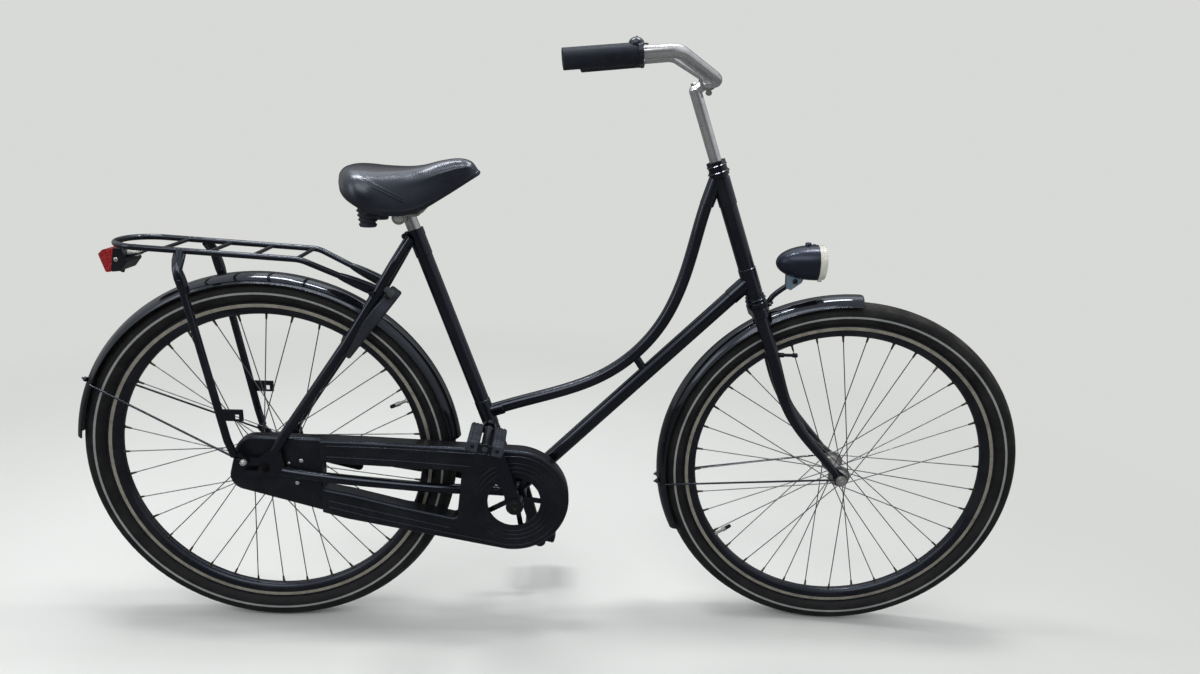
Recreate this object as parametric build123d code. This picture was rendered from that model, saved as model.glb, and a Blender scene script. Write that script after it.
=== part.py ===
"""City bicycle with a low curved frame, chain case, rack and full mudguards, as separate real sub-parts.

Modelling frame: X forward, Y to the rider's left, Z up, ground at Z = 0, rear axle above X = 0.
Every piece is moved at export so that the rider's seat point on the saddle is the origin.
All sizes are in millimetres.
"""
import os
from math import cos, pi, radians, sin

from build123d import *

# ---- driving dimensions -------------------------------------------------------------------------
WHEELBASE = 1136
TYRE_RADIUS = 358           # 47-622 tyre
HEAD_ANGLE = 68.5           # degrees from the ground, steering axis
FORK_RAKE = 60              # axle ahead of the steering axis
PARKED_STEER = -6.7         # the front wheel stands turned a little to the rider's right
SEAT_POINT = (225, 0, 935)  # rider's seat point, on top of the saddle

BOTTOM_BRACKET = (479, 0, 296)
SEAT_TUBE_TOP = (279.5, 0, 818)
HEAD_TUBE_BOTTOM = 409      # distances along the steering axis, up from the foot of the axle
HEAD_TUBE_TOP = 650
HEAD_TUBE_RADIUS = 16
MAIN_TUBE_RADIUS = 14.6     # down tube and seat tube
CURVED_TUBE_RADIUS = 12
SEAT_STAY_RADIUS = 9.5
CHAIN_STAY_RADIUS = 10
TUBE_WALL = 2
STEERER_RADIUS = 12.7
RUNNING_FIT = 0.05          # radial clearance of a bearing

RIM_INNER_RADIUS = 288.5
RIM_FLANGE_RADIUS = 315
RIM_HALF_WIDTH = 13.5
SPOKE_RADIUS = 1.0
SPOKES_PER_FLANGE = 18
SPOKE_STAND_OFF = 1.3       # gap between a flange and the spokes that pass over it

CHAIN_LINE = 44             # sprocket and chainwheel, to the right of the middle
CHAINWHEEL_TEETH = 44
SPROCKET_TEETH = 18
CHAIN_PITCH = 12.7
CASE_OUTER_Y = -62
CASE_REAR_OUTER_Y = -53.5
CASE_INNER_Y = -31
CASE_WALL = 2.5
CASE_RADIUS = 108           # round front end of the chain case
CASE_CENTRE = (477, 296)
CASE_EDGE = 7               # rounding of the case's outer edges
CASE_WINDOW_RADIUS = 52
CASE_JOIN_X = 106           # where the rear cap meets the arms

CRANK_LENGTH = 170
CRANK_ANGLE = 107.5         # right crank, from +X up towards +Z
CRANK_INNER_Y = 68
PEDAL_TILT = -12

REAR_DROPOUT_Y = 60         # inner faces
REAR_DROPOUT_THICKNESS = 5
FRONT_DROPOUT_Y = 50
FRONT_DROPOUT_THICKNESS = 4

MUDGUARD_RADIUS = 370
MUDGUARD_HALF_WIDTH = 29
MUDGUARD_DROP = 18
MUDGUARD_WALL = 1.6

RACK_HALF_WIDTH = 58
RACK_TUBE_RADIUS = 5.5
RACK_REAR_X = -252
RACK_BEND_X = 87
RACK_LEG_Y = 82             # the legs stand wider than the deck

FLANGE_THICKNESS = 3
FRONT_FLANGE_RADIUS = 19
FRONT_FLANGES = (-33, 33)
FRONT_AXLE_RADIUS = 4.5
REAR_FLANGE_RADIUS = 33.5
REAR_FLANGES = (-25, 29)
REAR_AXLE_RADIUS = 5
SPINDLE_RADIUS = 8.5
RACK_BOLT_X = -35
RACK_BOLT_Z = 372
POST_RADIUS = 12.3
STEM_RADIUS = 11.1
CUP_HEIGHT = 10
CUP_RADIUS = 18.5
DOWN_TUBE_JOIN = 441        # along the steering axis
GRIP_RADIUS = 17.2
GRIP_LENGTH = 127
BAR_RADIUS = 11.3

AXLE_Z = TYRE_RADIUS
REAR_AXLE = (0, 0, AXLE_Z)
FRONT_AXLE = (WHEELBASE, 0, AXLE_Z)
SIDES = (-1, 1)             # right, left

UP_AXIS = Vector(-cos(radians(HEAD_ANGLE)), 0, sin(radians(HEAD_ANGLE)))
AHEAD = Vector(sin(radians(HEAD_ANGLE)), 0, cos(radians(HEAD_ANGLE)))
STEER_FOOT = Vector(*FRONT_AXLE) - FORK_RAKE * AHEAD

FROM_BASE = (Align.CENTER, Align.CENTER, Align.MIN)


# ---- helpers ------------------------------------------------------------------------------------
def steer_point(ahead, side, up):
    """A point given by its distances ahead of, beside and along the steering axis."""
    return tuple(STEER_FOOT + ahead * AHEAD + side * Vector(0, 1, 0) + up * UP_AXIS)


def steer_plane(up, ahead=0):
    """A plane square to the steering axis, its own x pointing ahead and y to the left."""
    return Plane(origin=steer_point(ahead, 0, up), x_dir=AHEAD, z_dir=UP_AXIS)


def side_plane(y):
    """A plane seen from the right side, its own x forward and y up; extrusion goes to the right."""
    return Plane(origin=(0, y, 0), x_dir=(1, 0, 0), z_dir=(0, -1, 0))


def ring(radius, bore=0):
    """A disc, with a round hole if bore is given."""
    return Circle(radius) - Circle(bore) if bore else Circle(radius)


def rod(start, end, radius, bore=0):
    """A straight round bar or pipe between two points."""
    along = Vector(*end) - Vector(*start)
    return extrude(Plane(origin=start, z_dir=along) * ring(radius, bore), along.length)


def pipe(path, radius, bore=0):
    """A round bar or pipe that follows a path."""
    return sweep(Plane(origin=path @ 0, z_dir=path % 0) * ring(radius, bore), path=path)


def bend(points, radius):
    """A polyline whose corners are rounded."""
    return FilletPolyline(*points, radius=radius)


def tapered(path, radii):
    """A round bar along a path, its radius going evenly through the given values."""
    stations = [i / (len(radii) - 1) for i in range(len(radii))]
    planes = [Plane(origin=path @ t, x_dir=(0, 1, 0), z_dir=path % t) for t in stations]
    return loft([plane * Circle(radius) for plane, radius in zip(planes, radii)])


def plate(outline, y, thickness):
    """A flat plate seen from the side; its outer face is thickness further to the right than y."""
    return extrude(side_plane(y) * outline, thickness)


def cross_rod(x, z, y0, y1, radius, bore=0):
    """A round bar or pipe that runs across the bicycle."""
    return rod((x, y0, z), (x, y1, z), radius, bore)


def hex_nut(x, z, y0, y1, across_flats, bore=0):
    """A hexagonal nut whose axis runs across the bicycle."""
    nut = extrude(Plane(origin=(x, y0, z), z_dir=(0, y1 - y0, 0))
                  * (RegularPolygon(across_flats / 2, 6, major_radius=False)), abs(y1 - y0))
    return nut - cross_rod(x, z, y0 - 1, y1 + 1, bore) if bore else nut


def on_side(shape, side):
    """The given right-hand shape, or its mirror image on the left."""
    return shape if side < 0 else mirror(shape, Plane.XZ)


def steered(shape):
    """A piece of the steering, drawn straight ahead, turned to where it is parked."""
    return shape.rotate(Axis(tuple(STEER_FOOT), tuple(UP_AXIS)), PARKED_STEER)


# ---- frame --------------------------------------------------------------------------------------
def tube_line(z):
    """X of the seat tube's middle at a height."""
    (x0, _, z0), (x1, _, z1) = BOTTOM_BRACKET, SEAT_TUBE_TOP
    return x0 + (x1 - x0) * (z - z0) / (z1 - z0)


def head_tube_blank():
    """Head tube with a wider bearing cup at each end, not yet bored."""
    tube = extrude(steer_plane(HEAD_TUBE_BOTTOM) * Circle(HEAD_TUBE_RADIUS), HEAD_TUBE_TOP - HEAD_TUBE_BOTTOM)
    tube += extrude(steer_plane(HEAD_TUBE_BOTTOM - CUP_HEIGHT) * Circle(CUP_RADIUS), CUP_HEIGHT)
    tube += extrude(steer_plane(HEAD_TUBE_TOP) * Circle(CUP_RADIUS), CUP_HEIGHT)
    return tube


def head_tube():
    """Head tube and cups: a running bore at each end, wider between."""
    low, high = HEAD_TUBE_BOTTOM - CUP_HEIGHT, HEAD_TUBE_TOP + CUP_HEIGHT
    tube = head_tube_blank()
    tube -= extrude(steer_plane(low) * Circle(STEERER_RADIUS + RUNNING_FIT), high - low)
    tube -= extrude(steer_plane(HEAD_TUBE_BOTTOM + 12) * Circle(HEAD_TUBE_RADIUS - TUBE_WALL),
                    HEAD_TUBE_TOP - HEAD_TUBE_BOTTOM - 24)
    return largest(tube)


def seat_tube_blank():
    """Seat tube with a thicker collar at its top, not yet bored."""
    along = (Vector(*SEAT_TUBE_TOP) - Vector(*BOTTOM_BRACKET)).normalized()
    collar_foot = Vector(*SEAT_TUBE_TOP) - 14 * along
    tube = rod(BOTTOM_BRACKET, SEAT_TUBE_TOP, MAIN_TUBE_RADIUS)
    return tube + rod(tuple(collar_foot), SEAT_TUBE_TOP, MAIN_TUBE_RADIUS + 2)


def shell_blank():
    return cross_rod(BOTTOM_BRACKET[0], BOTTOM_BRACKET[2], -34, 34, 21)


def bottom_bracket_shell():
    """Shell with a bearing cup in each end, the crank spindle's running bore in each cup."""
    x, _, z = BOTTOM_BRACKET
    shell = shell_blank() - cross_rod(x, z, -34, 34, 17)
    for side in SIDES:
        shell += cross_rod(x, z, side * 22, side * 34, 17)
        shell += cross_rod(x, z, side * 34, side * 38, 19.5)
    return largest(shell - cross_rod(x, z, -40, 40, SPINDLE_RADIUS + RUNNING_FIT))


def down_tube():
    """From the bottom bracket to the head tube, mitred to both."""
    top = steer_point(0, 0, DOWN_TUBE_JOIN)
    tube = rod(BOTTOM_BRACKET, top, MAIN_TUBE_RADIUS, MAIN_TUBE_RADIUS - TUBE_WALL)
    return largest(tube - head_tube_blank() - shell_blank() - seat_tube_blank())


def largest(shape):
    """The biggest solid left after a mitre."""
    return max(shape.solids(), key=lambda solid: solid.volume)


def curved_path():
    """Middle line of the curved top tube, from the head tube down and back to the seat tube."""
    points = [(836, 0, 936), (811, 0, 842.3), (792.8, 0, 756.5), (756.3, 0, 659.5),
              (707.2, 0, 593.7), (639, 0, 541.8), (541.6, 0, 502.2), (415, 0, 460)]
    return Spline(*points)


def curved_tube():
    """The curved top tube, with the short strut that ties it to the down tube."""
    tube = pipe(curved_path(), CURVED_TUBE_RADIUS, CURVED_TUBE_RADIUS - TUBE_WALL)
    strut = rod((701, 0, 592), (726, 0, 556), 8) - pipe(curved_path(), CURVED_TUBE_RADIUS)
    strut = strut.solids().sort_by(Axis.Z)[0] - down_tube_blank()
    return largest(tube + strut - head_tube_blank() - seat_tube_blank())


def down_tube_blank():
    return rod(BOTTOM_BRACKET, steer_point(0, 0, DOWN_TUBE_JOIN), MAIN_TUBE_RADIUS)


def seat_tube():
    bore = rod(BOTTOM_BRACKET, SEAT_TUBE_TOP, POST_RADIUS)
    return largest(seat_tube_blank() - bore - shell_blank())


def chain_stay_path(side):
    points = [(455, side * 22, 299), (392, side * 29, 305), (335, side * 39, 311), (280, side * 44, 317),
              (180, side * 52, 329), (60, side * 61, 347), (34, side * 62.5, 352)]
    return Spline(*points)


def chain_stay_blank(side):
    return pipe(chain_stay_path(side), CHAIN_STAY_RADIUS)


def seat_stay_path(side):
    points = [(22, side * 62.5, 394), (45, side * 62, 432), (158, side * 49, 604),
              (203, side * 40.5, 680), (247, side * 32, 757), (273, side * 15, 802)]
    return bend(points, 60)


def seat_stay_blank(side):
    return pipe(seat_stay_path(side), SEAT_STAY_RADIUS)


def chain_stays():
    """Both chain stays with the bridge between them and the dropouts welded to their ends."""
    stays = Part() + [chain_stay_blank(side) for side in SIDES]
    stays += cross_rod(396, 304, -28, 28, 6)
    stays += [dropout_blank(side) for side in SIDES]
    slot = make_hull((Pos(0, AXLE_Z) * Circle(REAR_AXLE_RADIUS) + Pos(-60, AXLE_Z) * Circle(REAR_AXLE_RADIUS)).edges())
    stays -= plate(slot, 80, 160)
    stays -= cross_rod(RACK_BOLT_X, RACK_BOLT_Z, -80, 80, 3)
    return largest(stays - shell_blank())


def seat_stays():
    return Compound([largest(seat_stay_blank(side) - seat_tube_blank()
                             - dropout_blank(side)) for side in SIDES])


def dropout_outline():
    """Plate that joins the stays and carries the axle in a slot open to the rear."""
    outline = make_hull((Pos(30, 352) * Circle(10) + Pos(24, 396) * Circle(9)
                         + Pos(-2, AXLE_Z) * Circle(19)).edges())
    ear = make_hull((Pos(-10, 368) * Circle(10) + Pos(RACK_BOLT_X, RACK_BOLT_Z) * Circle(8)).edges())
    lower_ear = make_hull((Pos(-10, 348) * Circle(9) + Pos(-34, 346) * Circle(7)).edges())
    return outline + ear + lower_ear


def dropout_blank(side):
    blank = plate(dropout_outline(), -REAR_DROPOUT_Y, REAR_DROPOUT_THICKNESS)
    return on_side(blank, side)


# ---- seat ---------------------------------------------------------------------------------------
def seat_post():
    bottom = (tube_line(690), 0, 690)
    return rod(bottom, (tube_line(852), 0, 852), POST_RADIUS)


def saddle_clamp():
    """Steel clamp on the seat post, with the saddle's two wire rails in its jaws."""
    x, z = 257, 842
    barrel = cross_rod(x, z, -24, 24, 8)
    discs = [cross_rod(x, z, side * 16, side * 33, 12.5) for side in SIDES]
    yoke = rod((x, 0, z), (tube_line(845), 0, 845), 9)
    rails = [pipe(bend([(196, side * 50, 862), (218, side * 26, 849), (288, side * 20, 847),
                        (334, side * 8, 898)], 12), 3.5) for side in SIDES]
    clamp = Part() + [barrel, yoke, *discs, *rails]
    return largest(clamp - rod(BOTTOM_BRACKET, (tube_line(900), 0, 900), POST_RADIUS) - saddle_base())


SADDLE_STATIONS = (
    # x, half width, bottom z, top z
    (155, 45, 897, 923),
    (163, 70, 886, 931.5),
    (177, 91, 875, 936),
    (200, 104, 863, 936.5),
    (225, 101, 853, 935),
    (270, 76, 850, 935.5),
    (300, 52, 858, 940),
    (330, 36, 876, 948.5),
    (362, 27, 897, 953),
    (385, 21, 913, 947),
    (397, 12, 921, 931),
)


def saddle_section(x, half_width, low, high):
    """One closed cross-section of the saddle: a domed top over a skirt."""
    w, height = half_width, high - low
    points = [(0, high), (w * 0.62, high - height * 0.10), (w * 0.96, high - height * 0.45), (w * 0.93, low),
              (-w * 0.93, low), (-w * 0.96, high - height * 0.45), (-w * 0.62, high - height * 0.10)]
    top = Spline(points[3], points[2], points[1], points[0], points[6], points[5], points[4])
    return cross_plane(x) * make_face([top, Line(points[4], points[3])])


def cross_plane(x):
    """A plane across the bicycle, its own x to the left and y up."""
    return Plane(origin=(x, 0, 0), x_dir=(0, 1, 0), z_dir=(1, 0, 0))


def saddle_block(margin, lowest, highest):
    """A block that follows the saddle's plan, between two heights measured from its lower edge."""
    sections = []
    for x, half_width, low, _ in SADDLE_STATIONS[2:-1]:
        w = half_width * 0.93 + margin
        outline = Polyline((-w, low + lowest), (w, low + lowest), (w, low + highest), (-w, low + highest), close=True)
        sections.append(cross_plane(x) * make_face(outline))
    return loft(sections)


def saddle_cover():
    """Padded cover: its skirt reaches down past the base plate, which fills the hollow's upper part."""
    outer = loft([saddle_section(*station) for station in SADDLE_STATIONS])
    return largest(outer - saddle_block(-5, -12, 20))


def saddle_base():
    """Plate inside the cover, on which the rails and the bumpers bear."""
    return largest(saddle_block(-5, -12, 20) - saddle_block(12, -30, 10))


def saddle_bumpers():
    """Two ribbed rubber bumpers between the rails and the back of the saddle, wider at the top."""
    edge = [(0, 0), (14, 0)]
    for i in range(4):
        edge += [(16 + 1.3 * i, 4 + 8 * i), (13 + 1.3 * i, 8 + 8 * i)]
    profile = Polyline(*edge, (21, 36), (21, 46), (0, 46), close=True)
    bumper = revolve(Plane.XZ * make_face(profile), Axis.Z)
    above = saddle_block(12, 10, 60)
    return Compound([largest(Pos(207, side * 52, 827) * bumper - above - saddle_clamp()) for side in SIDES])


# ---- wheels -------------------------------------------------------------------------------------
def around_axle(profile):
    """Turn a profile, drawn as (distance across, radius), about the Y axis."""
    return revolve(Plane(origin=(0, 0, 0), x_dir=(0, 1, 0), z_dir=(1, 0, 0)) * profile, Axis.Y)


def tyre():
    bead, foot = 311, RIM_FLANGE_RADIUS
    outside = ThreePointArc((RIM_HALF_WIDTH, foot), (0, TYRE_RADIUS), (-RIM_HALF_WIDTH, foot))
    inside = ThreePointArc((-7.7, foot), (0, TYRE_RADIUS - 3.5), (7.7, foot))
    left = Polyline((-RIM_HALF_WIDTH, foot), (-11.5, foot), (-11.5, bead), (-7.7, bead), (-7.7, foot))
    right = Polyline((7.7, foot), (7.7, bead), (11.5, bead), (11.5, foot), (RIM_HALF_WIDTH, foot))
    return around_axle(make_face([outside, left, inside, right]))


def rim():
    half = [(11.5, RIM_FLANGE_RADIUS), (RIM_HALF_WIDTH, RIM_FLANGE_RADIUS), (RIM_HALF_WIDTH, 302),
            (9.5, 292.5), (4, RIM_INNER_RADIUS)]
    inner_half = [(3.4, 291), (8, 294.4), (11.5, 303)]
    points = [*half, *[(-y, r) for y, r in reversed(half)],
              *[(-y, r) for y, r in reversed(inner_half)], *inner_half]
    return around_axle(make_face(Polyline(*points, close=True)))


def spoke_layout(flange_radius, flange_y):
    """Ends of every spoke: hole in the flange, side of the flange it lies on, and place in the rim."""
    step = 360 / SPOKES_PER_FLANGE
    for side in SIDES:
        for i in range(SPOKES_PER_FLANGE):
            hub_angle = step * i + (step / 2 if side > 0 else 0)
            sweep_angle = 60 if i % 2 == 0 else -60
            lies = 1 if i % 2 == 0 else -1
            hub = polar(flange_radius, hub_angle)
            rim_end = polar(RIM_INNER_RADIUS + 2, hub_angle + sweep_angle)
            yield side, hub, side * flange_y, side * lies, rim_end


def polar(radius, angle):
    return radius * cos(radians(angle)), radius * sin(radians(angle))


def spokes(flange_radius, flange_ys):
    """36 tangential spokes, each bent at the hub flange and trimmed at the rim."""
    solids = []
    for side, hub, _, lies, rim_end in spoke_layout(flange_radius, 0):
        flange_y = flange_ys[0] if side < 0 else flange_ys[1]
        offset = FLANGE_THICKNESS / 2 + SPOKE_RADIUS + SPOKE_STAND_OFF
        start = Vector(hub[0], flange_y + lies * offset, hub[1])
        end = Vector(rim_end[0], side * 2.5, rim_end[1])
        pin = rod((hub[0], flange_y - lies * (offset + 0.5), hub[1]), tuple(start), SPOKE_RADIUS)
        solids.append(largest(pin + rod(tuple(start), tuple(end), SPOKE_RADIUS)
                              - cross_rod(0, 0, -20, 20, RIM_INNER_RADIUS + 40, RIM_INNER_RADIUS)))
    return Compound(solids)


def hub(flange_radius, flange_ys, shell_profile, bore):
    """Hub shell with two drilled spoke flanges; the profile lists (y, radius) from right to left."""
    outline = [(shell_profile[0][0], bore), *shell_profile, (shell_profile[-1][0], bore)]
    body = around_axle(make_face(Polyline(*outline, close=True)))
    holes = []
    for index, flange_y in enumerate(flange_ys):
        body += cross_rod(0, 0, flange_y - FLANGE_THICKNESS / 2, flange_y + FLANGE_THICKNESS / 2,
                          flange_radius + 3, bore)
    for side, hole, _, _, _ in spoke_layout(flange_radius, 0):
        flange_y = flange_ys[0] if side < 0 else flange_ys[1]
        holes.append(cross_rod(hole[0], hole[1], flange_y - 5, flange_y + 5, SPOKE_RADIUS))
    return largest(body - holes)


def front_hub():
    profile = [(-44, 9), (-37, 11), (-33, 16), (-28, 11.5), (28, 11.5), (33, 16), (37, 11), (44, 9)]
    return hub(FRONT_FLANGE_RADIUS, FRONT_FLANGES, profile, FRONT_AXLE_RADIUS + RUNNING_FIT)


def rear_hub():
    """Coaster-brake hub: a fat shell with a driver for the sprocket on the right."""
    profile = [(-48, 15), (-36, 15), (-36, 24), (-27, 29), (-20, 27), (24, 27), (31, 31), (44, 29), (47, 20)]
    return hub(REAR_FLANGE_RADIUS, REAR_FLANGES, profile, REAR_AXLE_RADIUS + RUNNING_FIT)


def toothed(teeth, bore):
    """Outline of a chain gear with round tooth gaps."""
    pitch_radius = CHAIN_PITCH / (2 * sin(pi / teeth))
    gaps = PolarLocations(pitch_radius, teeth) * Circle(4.3)
    return Circle(pitch_radius + 3.4) - gaps - Circle(bore)


def sprocket():
    return plate(toothed(SPROCKET_TEETH, 15), -CHAIN_LINE + 1.2, 2.4)


def place_front(shape):
    return steered(Pos(*FRONT_AXLE) * Rotation(0, 5, 0) * shape)


def place_rear(shape):
    return Pos(*REAR_AXLE) * shape


# ---- axles --------------------------------------------------------------------------------------
def axle(place, axle_radius, half_length, hub_end, dropout_y, dropout_thickness, spacer_radius):
    """Fixed axle with a spacer inside each dropout and a washer and nut outside it."""
    x, _, z = place
    solid = Part() + cross_rod(x, z, -half_length, half_length, axle_radius)
    for side in SIDES:
        outside = dropout_y + dropout_thickness
        solid += cross_rod(x, z, side * hub_end, side * dropout_y, spacer_radius)
        solid += cross_rod(x, z, side * outside, side * (outside + 1.5), 11)
        solid += hex_nut(x, z, side * (outside + 1.5), side * (outside + 9), 15)
    return largest(solid)


def rear_axle():
    return axle(REAR_AXLE, REAR_AXLE_RADIUS, 80, 48.5, REAR_DROPOUT_Y, REAR_DROPOUT_THICKNESS, 10)


def brake_arm():
    """The coaster brake's reaction arm, strapped to the left chain stay."""
    outline = make_hull((Pos(0, AXLE_Z) * Circle(17) + Pos(150, 313) * Circle(9)).edges())
    arm = plate(outline, 52.4, 2.9) - cross_rod(0, AXLE_Z, 40, 70, 10)
    stay = chain_stay_path(1)
    strap_place = Plane(origin=stay @ 0.68, z_dir=stay % 0.68)
    strap = extrude(strap_place * Circle(CHAIN_STAY_RADIUS + 2.5), 12)
    return largest(arm + strap - chain_stay_blank(1))


def front_axle():
    return axle(FRONT_AXLE, FRONT_AXLE_RADIUS, 66, 44.5, FRONT_DROPOUT_Y, FRONT_DROPOUT_THICKNESS, 8)


# ---- steering -----------------------------------------------------------------------------------
CROWN_LOW, CROWN_HIGH = 377, 392.5
STEERER_TOP = HEAD_TUBE_TOP + CUP_HEIGHT + 18
BLADE_Y_TOP, BLADE_Y_END = 42, 52


def blade_path(side):
    points = [steer_point(0, side * BLADE_Y_TOP, CROWN_HIGH - 4), steer_point(-3, side * 48.5, 165),
              steer_point(54, side * BLADE_Y_END, 14)]
    return bend(points, 250)


def fork_crown():
    """Crown plate and steering column in one, bored for the stem's quill, with the lower race."""
    shape = make_hull((Pos(0, -BLADE_Y_TOP) * Circle(15) + Circle(21) + Pos(0, BLADE_Y_TOP) * Circle(15)).edges())
    crown = extrude(steer_plane(CROWN_LOW) * shape, CROWN_HIGH - CROWN_LOW)
    race_top = HEAD_TUBE_BOTTOM - CUP_HEIGHT - 0.1
    crown += extrude(steer_plane(CROWN_HIGH) * Circle(17), race_top - CROWN_HIGH)
    crown += extrude(steer_plane(CROWN_HIGH) * Circle(STEERER_RADIUS), STEERER_TOP - CROWN_HIGH)
    crown -= extrude(steer_plane(CROWN_HIGH) * Circle(STEM_RADIUS), STEERER_TOP - CROWN_HIGH)
    return largest(crown - fork_blade_solid(-1) - fork_blade_solid(1))


def headset_nuts():
    """Adjusting race and hexagonal locknut on top of the column; they turn with the fork."""
    top = HEAD_TUBE_TOP + CUP_HEIGHT
    race = extrude(steer_plane(top + 0.1) * ring(17.5, STEERER_RADIUS), 9.9)
    lock = extrude(steer_plane(top + 10) * (RegularPolygon(18, 6) - Circle(STEERER_RADIUS)), 8)
    return largest(race + lock)


def fork_blade_solid(side):
    return tapered(blade_path(side), (12.5, 12.5, 12.2, 11.5, 10.2, 8.8, 7.5))


def front_dropout_blank(side):
    upper = Vector(*steer_point(50, 0, 30))
    outline = make_hull((Pos(upper.X, upper.Z) * Circle(6) + Pos(WHEELBASE, AXLE_Z) * Circle(13)).edges())
    return on_side(plate(outline, -FRONT_DROPOUT_Y, FRONT_DROPOUT_THICKNESS), side)


def fork_blade(side):
    """One curved blade with its dropout."""
    hole = cross_rod(WHEELBASE, AXLE_Z, -80, 80, FRONT_AXLE_RADIUS)
    return largest(fork_blade_solid(side) + front_dropout_blank(side) - hole)


def fork_blades():
    return Compound([fork_blade(side) for side in SIDES])


CLAMP_AHEAD = 26
CLAMP_UP = 817
GRIP_END = (565, 184, 1128.5)
BAR_CORNER = (744, 149, 1151)
BAR_BOW = (818, 61, 1108)


def clamp_point():
    return steer_point(CLAMP_AHEAD, 0, CLAMP_UP)


def bar_blank():
    x, _, z = clamp_point()
    half = [GRIP_END, BAR_CORNER, BAR_BOW, (x, 20, z)]
    points = [(px, -py, pz) for px, py, pz in half] + list(reversed(half))
    return pipe(bend(points, 32), BAR_RADIUS)


def handlebar():
    return bar_blank()


def stem():
    """Quill stem: a round post, a forward neck and the clamp round the bar."""
    x, _, z = clamp_point()
    post = extrude(steer_plane(640) * Circle(STEM_RADIUS), CLAMP_UP - 8 - 640)
    cap = steer_plane(CLAMP_UP - 8).location * Sphere(STEM_RADIUS)
    neck = rod(steer_point(0, 0, CLAMP_UP - 8), clamp_point(), 9.5)
    clamp = cross_rod(x, z, -17, 17, BAR_RADIUS + 4.5)
    bolt = rod(steer_point(CLAMP_AHEAD - 4, -11, CLAMP_UP - 19), steer_point(CLAMP_AHEAD - 4, 11, CLAMP_UP - 19), 5)
    return largest(Part() + [post, cap, neck, clamp, bolt] - bar_blank())


def grip_path(side):
    end, corner = Vector(*GRIP_END), Vector(*BAR_CORNER)
    along = (corner - end).normalized()
    start, stop = end - 4 * along, end + (GRIP_LENGTH - 4) * along
    return [(p.X, side * p.Y, p.Z) for p in (start, stop)]


def grips():
    """Plain rubber grips with a flange at the inner end and a closed outer end."""
    solids = []
    for side in SIDES:
        start, stop = [Vector(*p) for p in grip_path(side)]
        along = (stop - start).normalized()
        body = rod(tuple(start), tuple(stop), GRIP_RADIUS)
        lip = rod(tuple(stop - 5 * along), tuple(stop), GRIP_RADIUS + 1.2)
        solids.append(largest(body + lip - bar_blank()))
    return Compound(solids)


def bell():
    """Small bell on a band round the bar, its dome leaning back over the right grip's inner end."""
    start, stop = [Vector(*p) for p in grip_path(-1)]
    along = (stop - start).normalized()
    place = stop + 6 * along
    over = stop - 5 * along
    band = rod(tuple(stop + 2 * along), tuple(stop + 12 * along), BAR_RADIUS + 2.5, BAR_RADIUS)
    foot = rod(tuple(place + Vector(0, 0, BAR_RADIUS + 1)), tuple(place + Vector(0, 0, 22)), 4)
    dome = Pos(over.X, over.Y, over.Z + 17.5) * Sphere(12.5)
    dome -= Pos(over.X, over.Y, over.Z - 21.5) * Box(60, 60, 42, align=FROM_BASE)
    return largest(Part() + [band, foot, dome] - bar_blank())


def mudguard(centre, first, last):
    """An arched strip around a wheel, between two angles measured from +X up towards +Z."""
    r, w, drop, wall = MUDGUARD_RADIUS, MUDGUARD_HALF_WIDTH, MUDGUARD_DROP, MUDGUARD_WALL
    outer = ThreePointArc((w, r - drop), (0, r), (-w, r - drop))
    inner = ThreePointArc((-w + wall, r - drop), (0, r - wall), (w - wall, r - drop))
    section = make_face([outer, Line(outer @ 1, inner @ 0), inner, Line(inner @ 1, outer @ 0)])
    start = Plane(origin=(0, 0, 0), x_dir=(0, 1, 0), z_dir=(0, 0, -1))
    strip = revolve(start * section, Axis((0, 0, 0), (0, -1, 0)), last - first)
    return Pos(*centre) * Rotation(0, -first, 0) * strip


def front_mudguard():
    return mudguard((WHEELBASE, 0, AXLE_Z + 2), 90.3, 206)


def rear_mudguard():
    return mudguard(REAR_AXLE, 8, 174)


def wheel_point(centre, radius, angle, y):
    return centre[0] + radius * cos(radians(angle)), y, centre[2] + radius * sin(radians(angle))


def front_mudguard_stays():
    """Wire stays from the mudguard's sides to the fork ends."""
    solids = []
    for side in SIDES:
        rim_end = wheel_point(FRONT_AXLE, 353, 188, side * 30.5)
        foot = (WHEELBASE - 13, side * 57.5, AXLE_Z + 3)
        solids.append(largest(rod(rim_end, foot, 2) - front_mudguard() - fork_blade(side)))
    return Compound(solids)


def rear_mudguard_stays():
    solids = []
    for side in SIDES:
        rim_end = wheel_point(REAR_AXLE, 353, 155.5, side * 30.5)
        foot = (-42, side * 71.9, 378)
        solids.append(largest(rod(rim_end, foot, 2) - rear_mudguard() - rack_leg_blank(side)))
    return Compound(solids)


# ---- lamp ---------------------------------------------------------------------------------------
LAMP_TAIL = (964, 0, 784)
LAMP_LENGTH = 78
LAMP_RADIUS = 34
LAMP_TILT = 3


def lamp_place(shape):
    return Pos(*LAMP_TAIL) * Rotation(0, -LAMP_TILT, 0) * shape


def lamp_outline(radius, length, shift=0):
    """Half a bullet, drawn as (x, radius)."""
    curve = Spline((shift, 0), (shift + length * 0.10, radius * 0.48), (shift + length * 0.42, radius * 0.90),
                   (shift + length, radius), tangents=((0, 1), (1, 0)))
    return make_face([curve, Line((shift + length, radius), (shift + length, 0)), Line((shift + length, 0), (shift, 0))])


def headlight_shell():
    outer = revolve(lamp_outline(LAMP_RADIUS, LAMP_LENGTH), Axis.X)
    inner = revolve(lamp_outline(LAMP_RADIUS - 2, LAMP_LENGTH - 2, 2), Axis.X)
    knobs = Pos(59, 0, 32) * Cylinder(6, 13) + Pos(70, 0, 32) * Cylinder(3.5, 7)
    return lamp_place(largest(outer - inner + (knobs - outer)))


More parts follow.
